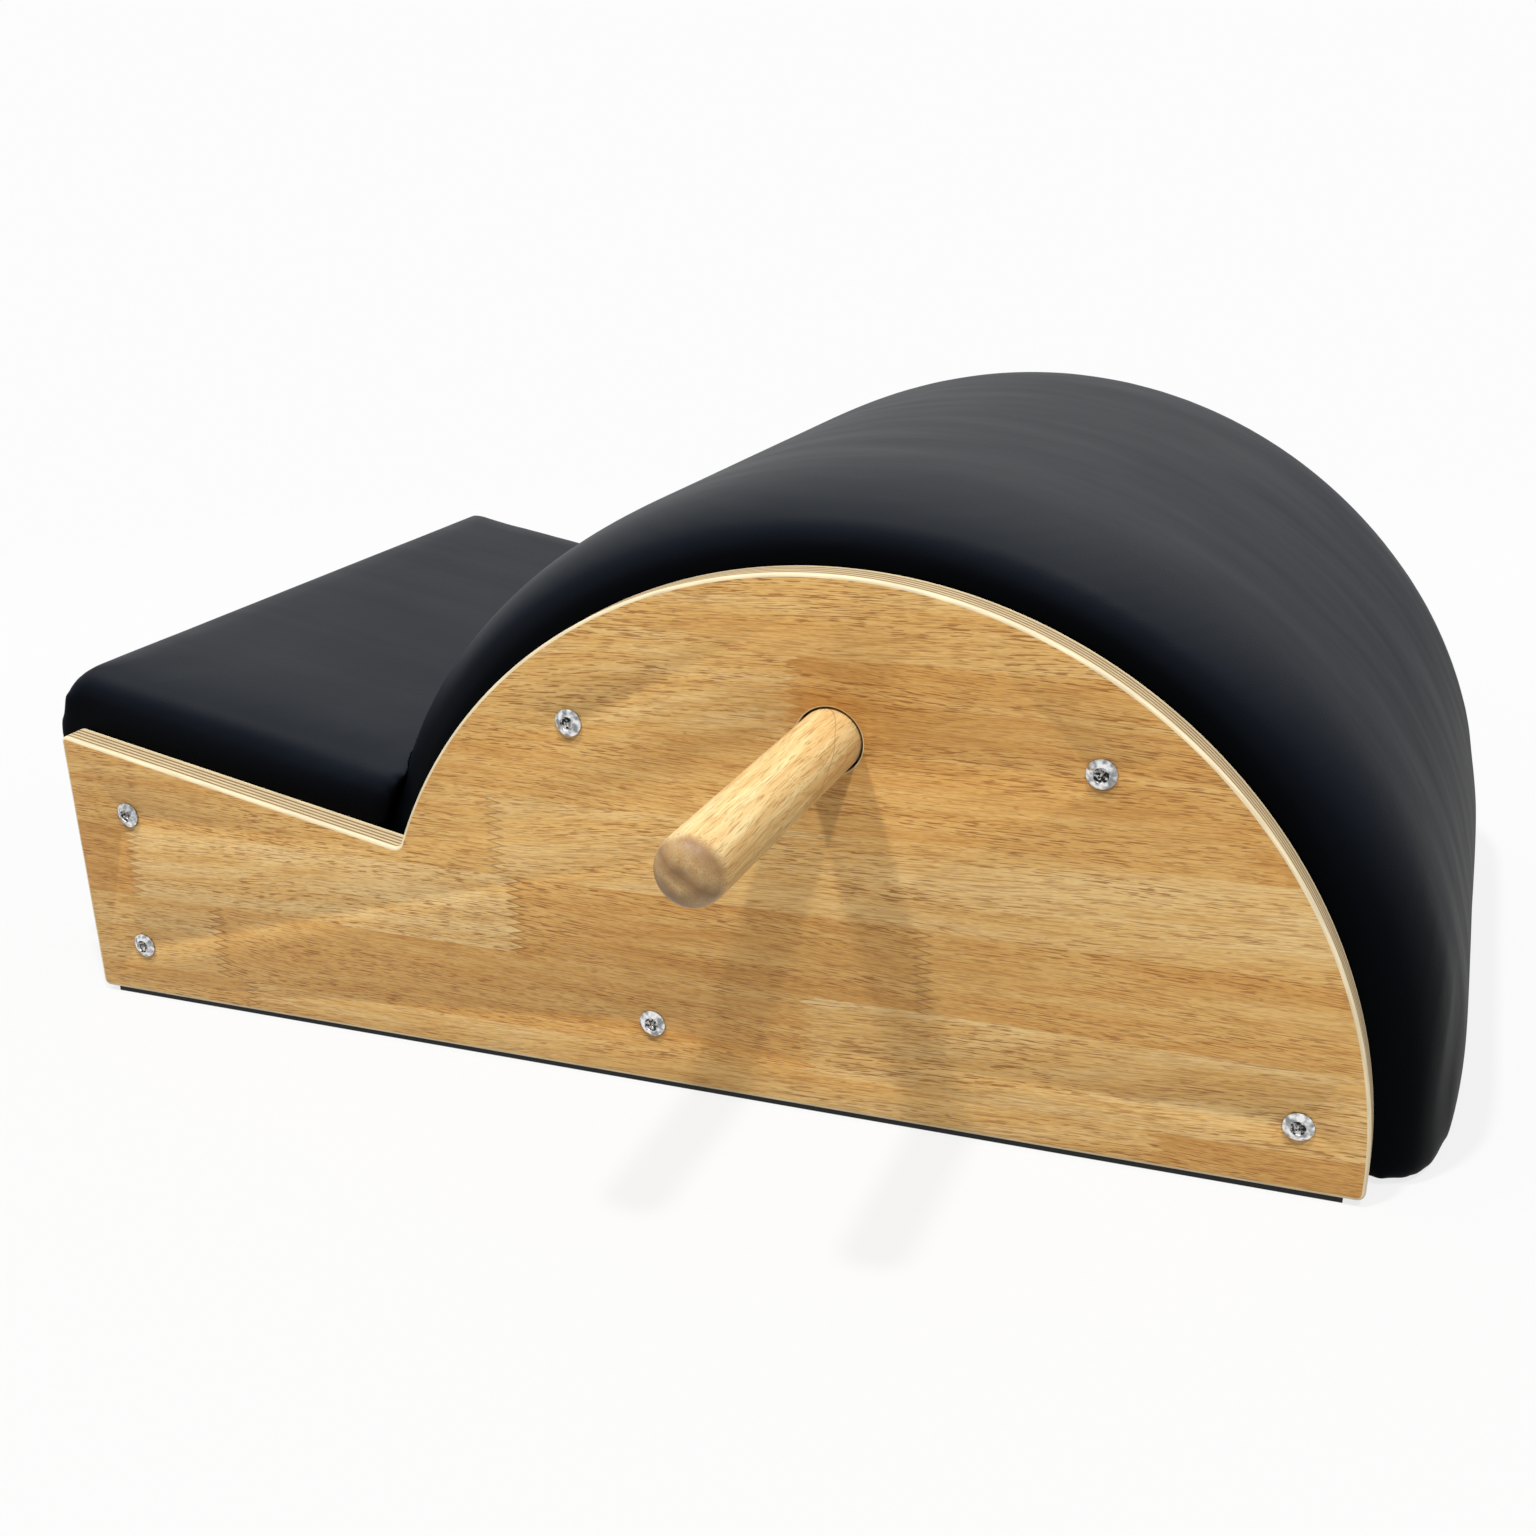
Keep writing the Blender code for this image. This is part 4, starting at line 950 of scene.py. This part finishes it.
bpy.ops.mesh.primitive_plane_add(size=30)
floor = begin("floor")
bpy.ops.object.mode_set(mode="OBJECT")
floor_paint, tree, shader, coords = new_material("white_floor")
shader.inputs["Base Color"].default_value = (floor_grey, floor_grey, floor_grey, 1)
shader.inputs["Roughness"].default_value = 1.0
shader.inputs["Specular IOR Level"].default_value = 0.0
distance = node(tree, "VectorMath", {0: coords}, operation="LENGTH").outputs["Value"]
fade = {"Value": distance, "From Min": shaded_to, "From Max": plain_from}
plain = node(tree, "MapRange", {**fade, "To Min": shaded_part, "To Max": 1.0})
share = node(tree, "Math", {0: seen_directly(tree), 1: plain}, operation="MULTIPLY")
glow = node(tree, "MapRange", {**fade, "To Min": near_glow, "To Max": backdrop})
white = node(tree, "Emission", {"Strength": glow})
mixed = node(tree, "MixShader", {0: share, 1: shader, 2: white})
tree.links.new(mixed.outputs[0], tree.nodes["Material Output"].inputs["Surface"])
floor.data.materials.append(floor_paint)

world = bpy.data.worlds.new("white_studio")
bpy.context.scene.world = world
world.use_nodes = True
tree = world.node_tree
aim = node(tree, "TexCoord").outputs["Generated"]
aim = node(tree, "SeparateXYZ", {0: aim})
soft = node(tree, "MapRange", {"Value": aim.outputs["Z"], "To Min": ambient_low, "To Max": ambient_high})
strength = node(tree, "Mix", {0: seen_directly(tree), 2: soft, 3: backdrop})
background = tree.nodes["Background"]
background.inputs["Color"].default_value = (1, 1, 1, 1)
tree.links.new(strength.outputs[0], background.inputs["Strength"])

for name, toward in lamps:
    lamp = bpy.data.lights.new(name, "SUN")
    lamp.energy = lamp_strength
    lamp.angle = lamp_width
    light = bpy.data.objects.new(name, lamp)
    light.rotation_euler = Vector(toward).to_track_quat("Z", "Y").to_euler()
    bpy.context.scene.collection.objects.link(light)

eye = bpy.data.cameras.new("camera")
eye.lens = lens
eye.sensor_width = sensor
camera = bpy.data.objects.new("camera", eye)
camera.matrix_world = Matrix.Translation(camera_place) @ Matrix(
    (camera_right, camera_up, camera_right.cross(camera_up))).transposed().to_4x4()
bpy.context.scene.collection.objects.link(camera)
bpy.context.scene.camera = camera
bpy.context.scene.view_settings.view_transform = "Standard"
